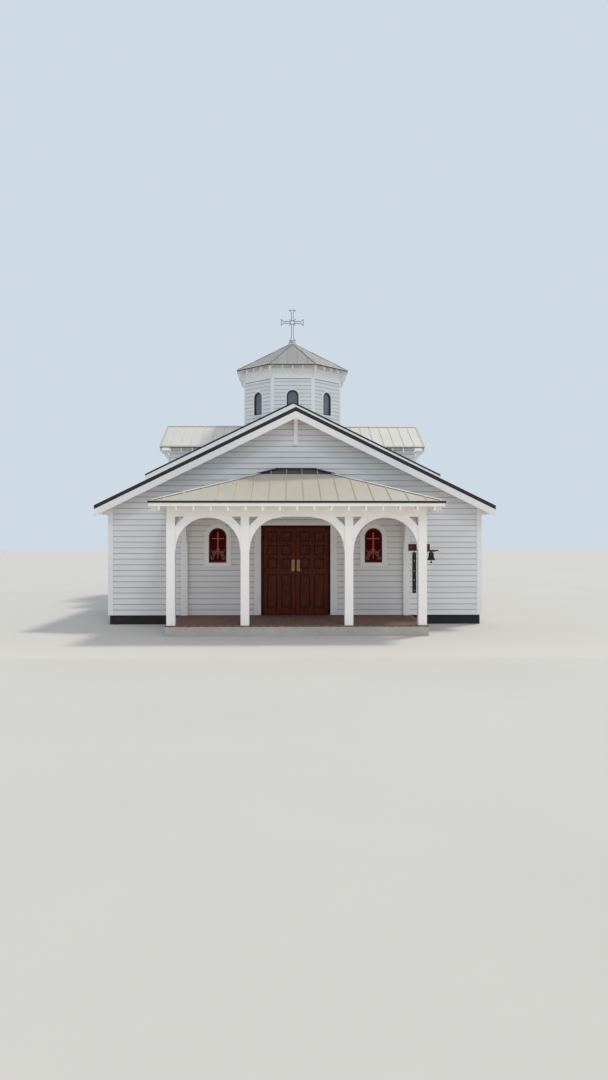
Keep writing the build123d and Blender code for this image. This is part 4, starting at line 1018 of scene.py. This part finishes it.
# %% Seams on the main roofs
by_ridge = 0.03
first_behind = 0.1
transept_first = 0.41
transept_count = 8
transept_start = transept_end - transept_first
transept_places = [transept_start - number * seam_spacing for number in range(transept_count)]
seams = bmesh.new()
for side in (-1, 1):
    front_plan = [
        (side * by_ridge, front_rake_y), (side * eave_half, front_rake_y),
        (side * eave_half, step_y), (side * by_ridge, step_y),
    ]
    add_seams(seams, front_plan, 1, places_between(front_rake_y, step_y), front_level)
    for way, rake, first in (
        (-1, crossing_y - nave_rake_y, first_seam),
        (1, rear_rake_y - crossing_y, first_behind),
    ):
        nave_plan = [
            (by_ridge, rake), (eave_half, rake), (eave_half, transept_half),
            (valley_shift + transept_half, transept_half), valley,
            (octagon_half, lantern_apothem), (by_ridge, lantern_apothem),
        ]
        turned = [(side * x, crossing_y + way * back) for x, back in nave_plan]
        edges_y = sorted((crossing_y + way * rake, crossing_y + way * valley[1]))
        add_seams(seams, turned, 1, places_between(*edges_y, first), nave_level)
        transept_plan = [
            (transept_end, by_ridge), (transept_end, transept_run),
            (valley_shift + transept_run, transept_run), valley,
            (lantern_apothem, octagon_half), (lantern_apothem, by_ridge),
        ]
        turned = [(side * x, crossing_y + way * back) for x, back in transept_plan]
        add_seams(seams, turned, 0, [side * x for x in transept_places], transept_level)
finish_piece("main_roof_seams", seams, roof_light)

# %% [markdown]
# The lantern's roof has eight narrow slopes with four seams each. The hips end them all, the outer two
# first. Where they end follows from the octagon's angle, so the plan outline isn't needed here.

# %% Seams on the lantern's roof
seam_offsets = (-0.6, -0.2, 0.2, 0.6)
low_seam_height = seam_height * 0.8
hip_clearance = 0.06
eave_clearance = 0.01


def lantern_level(reach):
    """Level of the lantern roof's upper face at a distance out along a flat."""
    return lantern_eave + lantern_slope * (lantern_eave_apothem - reach)


seams = bmesh.new()
outer = lantern_eave_apothem - eave_clearance
for out in eight_ways():
    for offset in seam_offsets:
        shift = UP.cross(out) * offset
        inner = abs(offset) / half_face + hip_clearance
        ends = [lantern_middle + out * reach + shift + UP * lantern_level(reach) for reach in (outer, inner)]
        add_bar(seams, *ends, seam_width, low_seam_height, UP)
finish_piece("lantern_roof_seams", seams, roof_grey)

# %% [markdown]
# The porch has a hipped roof: a trapezoid in front and a triangle at each end. The plan outlines cut the
# seams at the hips, with a slightly wider spacing than on the main roofs.

# %% Seams on the porch roof
porch_front_slope = (porch_top - porch_eave) / (front_y - porch_eave_y)
porch_side_slope = (porch_top - porch_eave) / (porch_half - porch_ridge_half)
porch_seam_spacing = 0.4137
porch_seam_start = -0.249
first_side_seam = 0.2
end_margin = 0.12
front_numbers = range(-7, 10)
side_numbers = range(7)
seams = bmesh.new()
front_plan = [
    (-porch_half, porch_eave_y), (porch_half, porch_eave_y),
    (porch_ridge_half, front_y), (-porch_ridge_half, front_y),
]
places = [porch_seam_start + porch_seam_spacing * number for number in front_numbers]
add_seams(
    seams, front_plan, 0, [x for x in places if abs(x) < porch_half - end_margin],
    lambda x, y: porch_eave + porch_front_slope * (y - porch_eave_y),
)
places = [front_y - first_side_seam - porch_seam_spacing * number for number in side_numbers]
for side in (-1, 1):
    side_plan = [
        (side * porch_half, porch_eave_y), (side * porch_half, front_y), (side * porch_ridge_half, front_y),
    ]
    add_seams(
        seams, side_plan, 1, places, lambda x, y: porch_eave + porch_side_slope * (porch_half - abs(x))
    )
finish_piece("porch_roof_seams", seams, roof_taupe)

# %% [markdown]
# Metal edges close the roofs. The gables have a black edge over their white boards, deeper on the front
# roof and thinner on the nave, where a white strip covers the rest of the deck. Each edge could be a
# sloping bar, but a real one ends upright at the eave, so it is a flat outline from eave to peak, carried a
# few millimetres out.

# %% Black edges on the gables
black_thick = 0.006
white_thick = 0.003
cover_run = 0.06
past_eave = 0.004
below_deck = 0.004
lip_at_eave = UP * 0.012
lip_at_peak = UP * 0.014
fold_at_peak = UP * 0.002
nave_edge_height = 0.052
front_edge_height = deck + 0.018
rake_trim = bmesh.new()
rake_white = bmesh.new()
for ridge, y, way, height in (
    (front_ridge, front_rake_y, -1, front_edge_height),
    (nave_ridge, nave_rake_y, -1, nave_edge_height),
    (nave_ridge, rear_rake_y, 1, nave_edge_height),
):
    drop = UP * height
    deck_drop = UP * (deck + below_deck)
    for side in (-1, 1):
        foot = Vector((side * (eave_half + past_eave), y, ridge - roof_slope * eave_half))
        peak = Vector((0, y, ridge))
        if height < deck:
            white = [foot - drop, peak - drop, peak - deck_drop, foot - deck_drop]
            add_prism(rake_white, white, Vector((0, way * white_thick, 0)))
        section = [foot + lip_at_eave, peak + lip_at_peak, peak - drop, foot - drop]
        add_prism(rake_trim, section, Vector((0, way * black_thick, 0)))
        cover = [foot + lip_at_eave, peak + lip_at_peak, peak + fold_at_peak, foot]
        add_prism(rake_trim, cover, Vector((0, -way * cover_run, 0)))
finish_piece("gable_edge_trim", rake_trim, black_trim)
finish_piece("gable_edge_boards", rake_white, trim_level)

# %% [markdown]
# Every eave has a light lip folded over the deck's edge and a black drip at the foot of it. The lip could
# be a single bent sheet, but it is only ever seen as three thin bands, so three bars between the same two
# corners give it. The same function then serves the main roofs, the cross gables, the lantern and the
# porch.

# %% Light lips and black drip edges along the eaves
lip_back = 0.03
lip_width = 0.07
lip_height = 0.008
fold_out = 0.004
fold_width = 0.01
drip_out = 0.003
drip_width = 0.008
verge_thick = 0.008
verge_short = 0.01
verge_width = 0.075
verge_height = 0.012


def add_eave_edge(lips, drips, start, end, out, thickness, drip):
    """Lip on top of a deck's edge, a black drip at the foot of its face and a light fold over the rest."""
    foot = UP * (thickness + below_deck)
    fold = UP * (thickness + below_deck - drip)
    for bm, shift, width, height in (
        (lips, -out * lip_back, lip_width, lip_height),
        (drips, out * drip_out - foot, drip_width, drip),
        (lips, out * fold_out - fold, fold_width, fold.length + lip_height),
    ):
        add_bar(bm, start + shift, end + shift, width, height, UP)


def add_verge(lips, foot, peak, out):
    """A light edge on a cross gable: a thin face over the deck's end and a lip that rises with the roof."""
    drop = UP * (deck - verge_short)
    section = [foot + lip_at_peak, peak + lip_at_peak, peak - drop, foot - drop]
    add_prism(lips, section, out * verge_thick)
    add_bar(lips, foot - out * lip_back, peak - out * lip_back, verge_width, verge_height, UP)


print("eave edges", lip_width, "wide")

# %% [markdown]
# The edge follows each eave from corner to corner. The corners could be listed one by one, but sides and
# ways repeat, so loops mirror them. The porch's three eaves join its four corners in turn.

# %% Edges on all the eaves
main_drip = 0.055
transept_drip = 0.034
lantern_drip = 0.04
lips = bmesh.new()
drips = bmesh.new()
for side in (-1, 1):
    out = Vector((side, 0, 0))
    for ridge, ends_y in ((front_ridge, (front_rake_y, step_y)), (nave_ridge, (nave_rake_y, rear_rake_y))):
        a, b = [Vector((side * eave_half, y, ridge - roof_slope * eave_half)) for y in ends_y]
        add_eave_edge(lips, drips, a, b, out, deck, main_drip)
    for way in (-1, 1):
        level = transept_ridge - roof_slope * transept_run
        y = crossing_y + way * transept_run
        a = Vector((side * (valley_shift + transept_run), y, level))
        b = Vector((side * transept_end, y, level))
        add_eave_edge(lips, drips, a, b, Vector((0, way, 0)), deck, transept_drip)
        add_verge(lips, b, Vector((side * transept_end, crossing_y, transept_ridge)), out)
for out in eight_ways():
    half = UP.cross(out) * lantern_eave_apothem * half_face
    middle = Vector((0, crossing_y, lantern_eave)) + out * lantern_eave_apothem
    add_eave_edge(lips, drips, middle - half, middle + half, out, lantern_deck, lantern_drip)
porch_left = [Vector((-porch_half, y, porch_eave)) for y in (front_y, porch_eave_y)]
porch_right = [Vector((porch_half, y, porch_eave)) for y in (porch_eave_y, front_y)]
porch_corners = porch_left + porch_right
porch_ways = [Vector((-1, 0, 0)), Vector((0, -1, 0)), Vector((1, 0, 0))]
for a, b, out in zip(porch_corners, porch_corners[1:], porch_ways):
    add_eave_edge(lips, drips, a, b, out, porch_deck, porch_deck + below_deck)
finish_piece("eave_lips", lips, roof_taupe)
finish_piece("eave_drips", drips, black_trim)

# %% [markdown]
# A folded cap covers each ridge and hip. Beside each of its edges, where it lies on the pans, a thin black
# bar paints the shadow that the cap casts there. A cap could be one bent strip with a thickness, but its two
# wings slope differently on a ridge and on a hip. So each wing is a thin outline at the cap's start, tilted
# by the fall of the roof beside it and carried along to the end.

# %% A folded cap
cap_foot = 0.006
cap_top = 0.018
cap_hem = 0.002
cap_shadow_gap = 0.006
cap_shadow_width = 0.02
cap_shadow_height = 0.009


def add_cap(light, dark, start, end, width, spread):
    """A folded cap over a ridge or hip, with a painted shadow bar beside each edge. Spread is the slope
    across it on each side.
    """
    along = (end - start).normalized()
    side = along.cross(UP).normalized()
    rise = side.cross(along).normalized()
    for way in (-1, 1):
        fall = (side * way - rise * spread).normalized()
        normal = fall.cross(along) * way
        if normal.z < 0:
            normal.negate()
        corners = [start + normal * cap_foot, start + normal * cap_top]
        corners += [start + normal * cap_top + fall * width, start + normal * cap_hem + fall * width]
        add_prism(light, corners, end - start)
        # Painted shadow: a thin black bar on the pans beside this edge of the cap.
        cap_shadow = start + fall * (width + cap_shadow_gap)
        add_bar(dark, cap_shadow, cap_shadow + (end - start), cap_shadow_width, cap_shadow_height, normal)


print("caps", cap_top, "high")

# %% [markdown]
# The widest caps lie on the main ridges and on the cross gables' ridges, and stop at the nave's gable and
# at the lantern. The porch's hips have narrower ones, which start a little way up so that they don't stick
# out past the eave's corner. Each cap could be a piece of its own, but they share a finish and a body, so
# they are one piece.

# %% Caps on the ridges and the porch's hips
main_cap = 0.12
porch_cap = 0.07
porch_hip_fall = 0.22
hip_start = 0.02
caps = bmesh.new()
cap_shadows = bmesh.new()
for ridge, start_y, end_y in (
    (front_ridge, front_rake_y, step_y),
    (nave_ridge, nave_rake_y, crossing_y - lantern_apothem),
    (nave_ridge, crossing_y + lantern_apothem, rear_rake_y),
):
    add_cap(caps, cap_shadows, Vector((0, start_y, ridge)), Vector((0, end_y, ridge)), main_cap, roof_slope)
for side in (-1, 1):
    a = Vector((side * lantern_apothem, crossing_y, transept_ridge))
    b = Vector((side * transept_end, crossing_y, transept_ridge))
    add_cap(caps, cap_shadows, a, b, main_cap, roof_slope)
    hip_top = Vector((side * porch_ridge_half, front_y, porch_top))
    hip_foot = Vector((side * porch_half, porch_eave_y, porch_eave))
    add_cap(caps, cap_shadows, hip_foot.lerp(hip_top, hip_start), hip_top, porch_cap, porch_hip_fall)
finish_piece("ridge_caps", caps, roof_light)

# %% [markdown]
# The lantern's eight hips have the narrowest caps, in the grey of its roof. They could be cut at the small
# cap on top, but it covers their ends, so they simply run in under it.

# %% Caps on the lantern's hips
lantern_cap = 0.045
lantern_hip_fall = 0.16
neck_reach = 0.14
lantern_caps = bmesh.new()
for out in eight_ways(half_side_degrees):
    a = lantern_middle + out * lantern_eave_apothem * corner_reach + UP * lantern_eave
    b = lantern_middle + out * neck_reach * corner_reach + UP * lantern_level(neck_reach)
    add_cap(lantern_caps, cap_shadows, a, b, lantern_cap, lantern_hip_fall)
finish_piece("lantern_hip_caps", lantern_caps, roof_grey)
# The black bars beside the caps are painted shadow under their edges.
finish_piece("painted_cap_shadows", cap_shadows, black_trim)

# %% [markdown]
# Where the porch roof meets the wall, black flashing climbs the wall and turns down over the hips. On a
# real roof it is bent from a sheet. Here it is a flat outline with a thickness, and the hips reuse the cap,
# because only the outer faces are ever seen.

# %% Porch headwall flashing
flash_thick = 0.03
flash_top = porch_top + 0.05
flash_depth = 0.2
flash_top_half = 0.55
flash_foot_half = 0.9
hip_lift = 0.022
hip_cap = 0.085
hip_turn_down = 0.15
flashing = bmesh.new()
flash_y = front_y - flash_thick
flash_corners = [
    Vector((-flash_top_half, flash_y, flash_top)), Vector((flash_top_half, flash_y, flash_top)),
    Vector((flash_foot_half, flash_y, flash_top - flash_depth)),
    Vector((-flash_foot_half, flash_y, flash_top - flash_depth)),
]
add_prism(flashing, flash_corners, Vector((0, flash_thick, 0)))
for side in (-1, 1):
    hip_top = Vector((side * porch_ridge_half, front_y, porch_top + hip_lift))
    hip_foot = Vector((side * porch_half, porch_eave_y, porch_eave + hip_lift))
    # The cap's painted shadow bars go into the black flashing too.
    add_cap(flashing, flashing, hip_top.lerp(hip_foot, hip_turn_down), hip_top, hip_cap, porch_hip_fall)
finish_piece("headwall_flashing", flashing, black_trim)

# %% [markdown]
# Below the flashing a dark apron covers the tops of the pans. It could be the top row of the roof's own
# faces in another colour, but a thin sheet on top has the step at its lower edge that a real apron has.

# %% Porch apron
apron_run = 0.5
apron_thick = 0.012
apron_foot = front_y - apron_run
apron_level = porch_top - porch_front_slope * apron_run
apron_half = porch_ridge_half + (porch_half - porch_ridge_half) * apron_run / (front_y - porch_eave_y)
corners = [
    Vector((-porch_ridge_half, front_y, porch_top)), Vector((porch_ridge_half, front_y, porch_top)),
    Vector((apron_half, apron_foot, apron_level)), Vector((-apron_half, apron_foot, apron_level)),
]
apron = bmesh.new()
add_prism(apron, corners, UP * apron_thick)
finish_piece("porch_apron", apron, apron_metal)

# %% [markdown]
# A smooth moulding runs round each window. A curve with a bevel could follow the arch, but it would round
# the square edges that wood has. Here a short edge is spun half a turn for the head, its two ends are
# carried down to the sill, and the flat band is then extruded out of the wall.

# %% An arched band and its sill strip
strip_clearance = 0.003


def add_arch_band(bm, place, inner, outer, back, front):
    """A band round a window: its edges from the opening's edge, its back and front from the wall's face."""
    centre = Vector((back, 0, window_spring))
    spots = [place @ (centre + Vector((0, window_half + reach, 0))) for reach in (inner, outer)]
    ends = [bm.verts.new(spot) for spot in spots]
    edge = bm.edges.new(ends)
    turned = bmesh.ops.spin(
        bm, geom=[edge] + ends, cent=place @ centre, axis=place.to_3x3() @ Vector((1, 0, 0)),
        angle=pi, steps=20, use_merge=False,
    )
    last = [part for part in turned["geom_last"] if isinstance(part, bmesh.types.BMEdge)]
    for end in [edge] + last:
        grown = bmesh.ops.extrude_edge_only(bm, edges=[end])["geom"]
        bmesh.ops.translate(bm, vec=UP * -window_spring, verts=new_verts(grown))
    todo = list(edge.link_faces)
    faces = set(todo)
    while todo:
        for neighbour in {f for e in todo.pop().edges for f in e.link_faces} - faces:
            faces.add(neighbour)
            todo.append(neighbour)
    grown = bmesh.ops.extrude_face_region(bm, geom=list(faces))["geom"]
    bmesh.ops.translate(bm, vec=place.to_3x3() @ Vector((front - back, 0, 0)), verts=new_verts(grown))


def add_sill_strip(bm, place, out, width, height):
    """A level strip along the foot of an opening, so far out of the wall."""
    reach = window_half - strip_clearance
    add_bar(bm, place @ Vector((out, -reach, 0)), place @ Vector((out, reach, 0)), width, height, UP)


print("arched band ready")

# %% [markdown]
# The wall windows have a moulding on the outer edge of their flat casing and a bead round the opening. The
# lantern's windows have one wider moulding on the lap boards and a black bead on the frame. Each could be
# placed by hand, but every window has its own matrix, with the middle of its sill as the origin, so the
# same few sizes serve them all: a band's inner and outer edge from the opening, and its back and front from
# the wall.

# %% Window mouldings
casing_moulding = (0.096, 0.122, 0.0, 0.034)
opening_bead = (-0.004, 0.016, -0.03, 0.031)
lantern_moulding = (-0.002, 0.05, -0.03, 0.026)
lantern_bead = (-0.054, -0.003, -0.031, -0.012)
lantern_sill_bead = (-0.031, 0.02, 0.05)


def window_place(x, y, sill, out):
    """Axes of a window with its sill's middle as the origin."""
    return wall_place(Vector((x, y, sill)), out)


front_way = Vector((0, -1, 0))
wall_windows = [window_place(x, front_y, sill_level, front_way) for x in (-front_window_x, front_window_x)]
for side in (-1, 1):
    out = Vector((side, 0, 0))
    for depth in front_window_y:
        wall_windows.append(window_place(side * front_half, front_y + depth, sill_level, out))
    wall_windows.append(window_place(side * nave_half, crossing_y, sill_level, out))
mouldings = bmesh.new()
beads = bmesh.new()
for place in wall_windows:
    add_arch_band(mouldings, place, *casing_moulding)
    add_arch_band(mouldings, place, *opening_bead)
for out in eight_ways():
    middle = lantern_middle + out * lantern_apothem
    place = window_place(middle.x, middle.y, lantern_sill, out)
    add_arch_band(mouldings, place, *lantern_moulding)
    add_arch_band(beads, place, *lantern_bead)
    add_sill_strip(beads, place, *lantern_sill_bead)
finish_piece("window_mouldings", mouldings, trim_upright)
finish_piece("window_beads", beads, window_black)

# %% [markdown]
# Each pane beside the doors has a plain cross over a pair of scrolls. They could be drawn as curves, but
# flat strips on the glass are all that shows. A straight strip is a bar. A curved one is a small square
# section swept by spin about the arc's centre, which keeps its width the same all along.

# %% Strips and arcs on a pane
strip_thick = 0.004
scroll_width = 0.014
arc_step = radians(18)


def add_strip(bm, place, start, end, width, lift):
    """A flat strip on a pane between two points, across and up."""
    a, b = [place @ Vector((lift, *spot)) for spot in (start, end)]
    add_bar(bm, a, b, width, strip_thick, (place.to_3x3() @ Vector((1, 0, 0))).normalized())


def add_arc(bm, place, centre, radius, start, sweep):
    """A flat arc on a pane, starting at an angle from the right and turning by sweep."""
    out = place.to_3x3() @ Vector((1, 0, 0))
    pivot = place @ Vector((0, *centre))
    spoke = place.to_3x3() @ Vector((0, cos(start), sin(start)))
    inner, outer = radius - scroll_width / 2, radius + scroll_width / 2
    corners = ((inner, 0), (outer, 0), (outer, strip_thick), (inner, strip_thick))
    face = bm.faces.new([bm.verts.new(pivot + spoke * reach + out * lift) for reach, lift in corners])
    steps = max(4, int(abs(sweep) / arc_step))
    bmesh.ops.spin(bm, geom=[face], cent=pivot, axis=out, angle=sweep, steps=steps, use_merge=False)


print("strips", strip_thick, "thick")

# %% [markdown]
# The cross is a stem, two arms and a thin rod that carries it. The scrolls are five arcs on each side,
# mirrored. They could be traced point by point, but arcs with a centre, a radius and a turn are easier to
# change. Each bar below has its two ends, its width and how far it lies over the stem. Each arc has its
# centre, its radius, and the angles in degrees where it starts and by which it turns.

# %% Crosses and scrolls
pane_depth = 0.055
over_stem = 0.001
cross_bars = (
    ((0, 0.3), (0, 0.83), 0.034, 0.0),
    ((-0.165, 0.66), (0.165, 0.66), 0.024, over_stem),
    ((-0.058, 0.355), (0.058, 0.355), 0.02, over_stem),
    ((0, 0.1), (0, 0.3), 0.018, 0.0),
)
scroll_arcs = (
    ((0.075, 0.25), 0.07, 180, -250),
    ((0.085, 0.25), 0.035, 0, -300),
    ((0.135, 0.14), 0.055, 150, -260),
    ((0.14, 0.14), 0.025, 20, -280),
    ((0.09, 0.36), 0.09, 250, 110),
)
ornament = bmesh.new()
for x in (-front_window_x, front_window_x):
    place = window_place(x, front_y + pane_depth, sill_level, front_way)
    for start, end, width, lift in cross_bars:
        add_strip(ornament, place, start, end, width, lift)
    for side in (-1, 1):
        for (across, up), radius, start, sweep in scroll_arcs:
            begin = radians(start) if side > 0 else pi - radians(start)
            add_arc(ornament, place, (side * across, up), radius, begin, radians(sweep) * side)
finish_piece("window_crosses", ornament, lead_line)

# %% [markdown]
# A darker red border frames each of the two panes. It could be part of the glass's colour, but a thin
# arched band is sharp at any size, and the function for it is already here.

# %% Dark red borders round the two panes
pane_border = (-0.041, -0.003, -0.033, -0.026)
sill_border = (-0.0305, 0.006, 0.041)
borders = bmesh.new()
for x in (-front_window_x, front_window_x):
    place = window_place(x, front_y, sill_level, front_way)
    add_arch_band(borders, place, *pane_border)
    add_sill_strip(borders, place, *sill_border)
finish_piece("pane_borders", borders, red_border)

# %% [markdown]
# Each leaf has four rows of two raised panels. A moulding lies in the groove round each one, four strips
# mitred at the corners, on both faces of the leaf, and its near-black wood paints the shade in the groove.
# Insetting the leaf's own faces would change the solid, so the strips are separate, and they ride with
# the leaf.

# %% Panel mouldings on the doors, in painted groove shade
leaf_low, leaf_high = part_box("door_leaf_right")
stile = 0.11
lock_rail = 0.15
cross_rail = 0.09
bottom_rail = 0.185
recess = 0.012
strip_gap = 0.001
strip_width = 0.03
strip_rise = 0.004
panel = (leaf_high.x - leaf_low.x - 3 * stile) / 2
heads = [leaf_high.z - stile - row * (panel + cross_rail) for row in range(3)]
rows = [(head - panel, head) for head in heads]
rows.append((leaf_low.z + bottom_rail, rows[-1][0] - lock_rail))


def panel_ring(side, near, foot, head, y, grow):
    """The four corners of a panel on a leaf's face, moved in by grow."""
    left, right = near + grow, near + panel - grow
    low, high = foot + grow, head - grow
    return [Vector((side * x, y, z)) for x, z in ((left, low), (right, low), (right, high), (left, high))]


for body, side in (("door_left", -1), ("door_right", 1)):
    mouldings = bmesh.new()
    for foot, head in rows:
        for column in range(2):
            near = leaf_low.x + stile + column * (panel + stile)
            for y, way in ((leaf_low.y + recess, -1), (leaf_high.y - recess, 1)):
                outer = panel_ring(side, near, foot, head, y, strip_gap)
                inner = panel_ring(side, near, foot, head, y, strip_width)
                for corner in range(4):
                    ahead = (corner + 1) % 4
                    outline = [outer[corner], outer[ahead], inner[ahead], inner[corner]]
                    add_prism(mouldings, outline, Vector((0, way * strip_rise, 0)))
    finish_piece(f"panel_shade_mouldings_{body.removeprefix('door_')}", mouldings, painted_shade_wood, body)

# %% [markdown]
# Four bright bolts go through the sounding iron. Their six-sided heads could be cut from a cylinder, but a
# cone with six segments and nearly equal ends is already one, with its edges slightly worn.

# %% Bolts of the sounding iron
iron_low, iron_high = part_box("semantron")
iron_x = (iron_low.x + iron_high.x) / 2
bolt_rise = 0.008
face_turn = Matrix.Rotation(radians(90), 4, "X")
bolts = bmesh.new()
for share in (0.07, 0.31, 0.53, 0.76):
    level = iron_low.z + share * (iron_high.z - iron_low.z)
    upright = Matrix.Translation((iron_x, iron_low.y - bolt_rise / 2, level)) @ face_turn
    bmesh.ops.create_cone(
        bolts, cap_ends=True, segments=6, radius1=0.013, radius2=0.011, depth=bolt_rise, matrix=upright
    )
finish_piece("iron_bolts", bolts, bolt_zinc)

# %% [markdown]
# The bell's clapper is a ball on a tapered rod, and the ball hangs just below the mouth. A square iron arm
# runs on over the bell from the wooden bar. The ball could be rounded by subdivision, but a sphere of a few
# faces is already smooth at this size.

# %% Clapper and arm of the bell
bell_low, bell_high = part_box("bell")
bell_radius = 0.105
rod_length = 0.17
rod_rise = UP * 0.045
knob_drop = UP * 0.05
mouth = Vector((bell_high.x - bell_radius, (bell_low.y + bell_high.y) / 2, bell_low.z))
clapper = bmesh.new()
rod = Matrix.Translation(mouth + rod_rise)
bmesh.ops.create_cone(
    clapper, cap_ends=True, segments=10, radius1=0.008, radius2=0.006, depth=rod_length, matrix=rod
)
knob = Matrix.Translation(mouth - knob_drop)
bmesh.ops.create_uvsphere(clapper, u_segments=16, v_segments=10, radius=0.026, matrix=knob)
finish_piece("bell_clapper", clapper, black_iron)

arm_length = 0.225
arm_side = 0.03
arm_sink = 0.01
arm_drop = 0.006
arm = bmesh.new()
arm_start = Vector((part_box("bell_bar")[1].x - arm_sink, mouth.y, bell_high.z - arm_drop))
add_bar(arm, arm_start, arm_start + Vector((arm_length, 0, 0)), arm_side, arm_side, UP)
finish_piece("bell_arm", arm, black_iron)

# %% [markdown]
# The porch floor is a concrete slab paved with bricks in a bed of mortar. A texture could draw the bricks,
# but the low view along the floor shows their joints as real grooves. Slab, mortar and bricks together
# stand for the plain slab among the solids, so each of them replaces it.

# %% Porch slab and mortar
slab_low, slab_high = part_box("porch_floor")
brick_layer = 0.032
groove = 0.006
slab_edge = 0.004
bed_inset = 0.008


def add_block(bm, low, high):
    """A squared block between two corners."""
    size = [b - a for a, b in zip(low, high)]
    middle = Matrix.Translation([(a + b) / 2 for a, b in zip(low, high)])
    bmesh.ops.create_cube(bm, size=1, matrix=middle @ Matrix.Diagonal((*size, 1)))


def round_edges(bm, edges, offset):
    """A small flat bevel along some edges."""
    bmesh.ops.bevel(bm, geom=edges, offset=offset, segments=1, profile=0.5, affect="EDGES", material=-1)


slab = bmesh.new()
add_block(slab, slab_low, (slab_high.x, slab_high.y, slab_high.z - brick_layer))
round_edges(slab, slab.edges[:], slab_edge)
bed = bmesh.new()
add_block(
    bed, (slab_low.x + bed_inset, slab_low.y + bed_inset, slab_high.z - brick_layer - slab_edge),
    (slab_high.x - bed_inset, slab_high.y, slab_high.z - groove),
)
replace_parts(finish_piece("porch_slab", slab, pale_concrete), "porch_floor")
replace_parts(finish_piece("porch_bed", bed, mortar), "porch_floor")

# %% [markdown]
# The bricks lie with their length front to back, in running bond, and reach the slab's edges. An Array
# modifier can't cut them at the edges, so a loop lays each one, trims it to the slab and leaves out
# slivers. Only the top edges are bevelled, because the others hardly show and there are hundreds of
# bricks.

# %% Bricks
smallest_brick = 0.02
bed_grip = 0.002
worn_edge = 0.003
top_band = 0.001
pitch_x = brick_width + brick_joint
pitch_y = brick_length + brick_joint
gap = brick_joint / 2
bricks = bmesh.new()
for row in range(floor(slab_low.x / pitch_x), ceil(slab_high.x / pitch_x)):
    shift = pitch_y * 0.5 * (row % 2)
    left = max(slab_low.x, row * pitch_x + gap)
    right = min(slab_high.x, (row + 1) * pitch_x - gap)
    for number in range(floor((slab_low.y - shift) / pitch_y), ceil((front_y - shift) / pitch_y)):
        near = max(slab_low.y, shift + number * pitch_y + gap)
        far = min(slab_high.y, shift + (number + 1) * pitch_y - gap)
        if min(right - left, far - near) > smallest_brick:
            add_block(bricks, (left, near, slab_high.z - brick_layer + bed_grip), (right, far, slab_high.z))
tops = [edge for edge in bricks.edges if all(v.co.z > slab_high.z - top_band for v in edge.verts)]
round_edges(bricks, tops, worn_edge)
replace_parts(finish_piece("porch_bricks", bricks, brick_clay), "porch_floor")

# %% [markdown]
# The ground is a wide pale sheet that isn't part of the church.

# %% Ground
ground_mesh = bpy.data.meshes.new("ground")
sheet = bmesh.new()
bmesh.ops.create_grid(sheet, x_segments=1, y_segments=1, size=150)
sheet.to_mesh(ground_mesh)
sheet.free()
ground = bpy.data.objects.new("ground", ground_mesh)
bpy.context.scene.collection.objects.link(ground)
ground_finish, tree, shader = start_finish("ground_finish", 0.9)
soft = use_group(tree, mottle, Color=(0.54, 0.52, 0.48, 1), Depth=0.02, Scale=0.2)
feed(tree, shader.inputs["Base Color"], soft.outputs["Color"])
ground_mesh.materials.append(ground_finish)
print("ground laid")

# %% [markdown]
# Last, the view layer is updated. The dressed church's box should hardly differ from the box round the
# solids, because trim is thin.

# %% Update the view layer
bpy.context.view_layer.update()
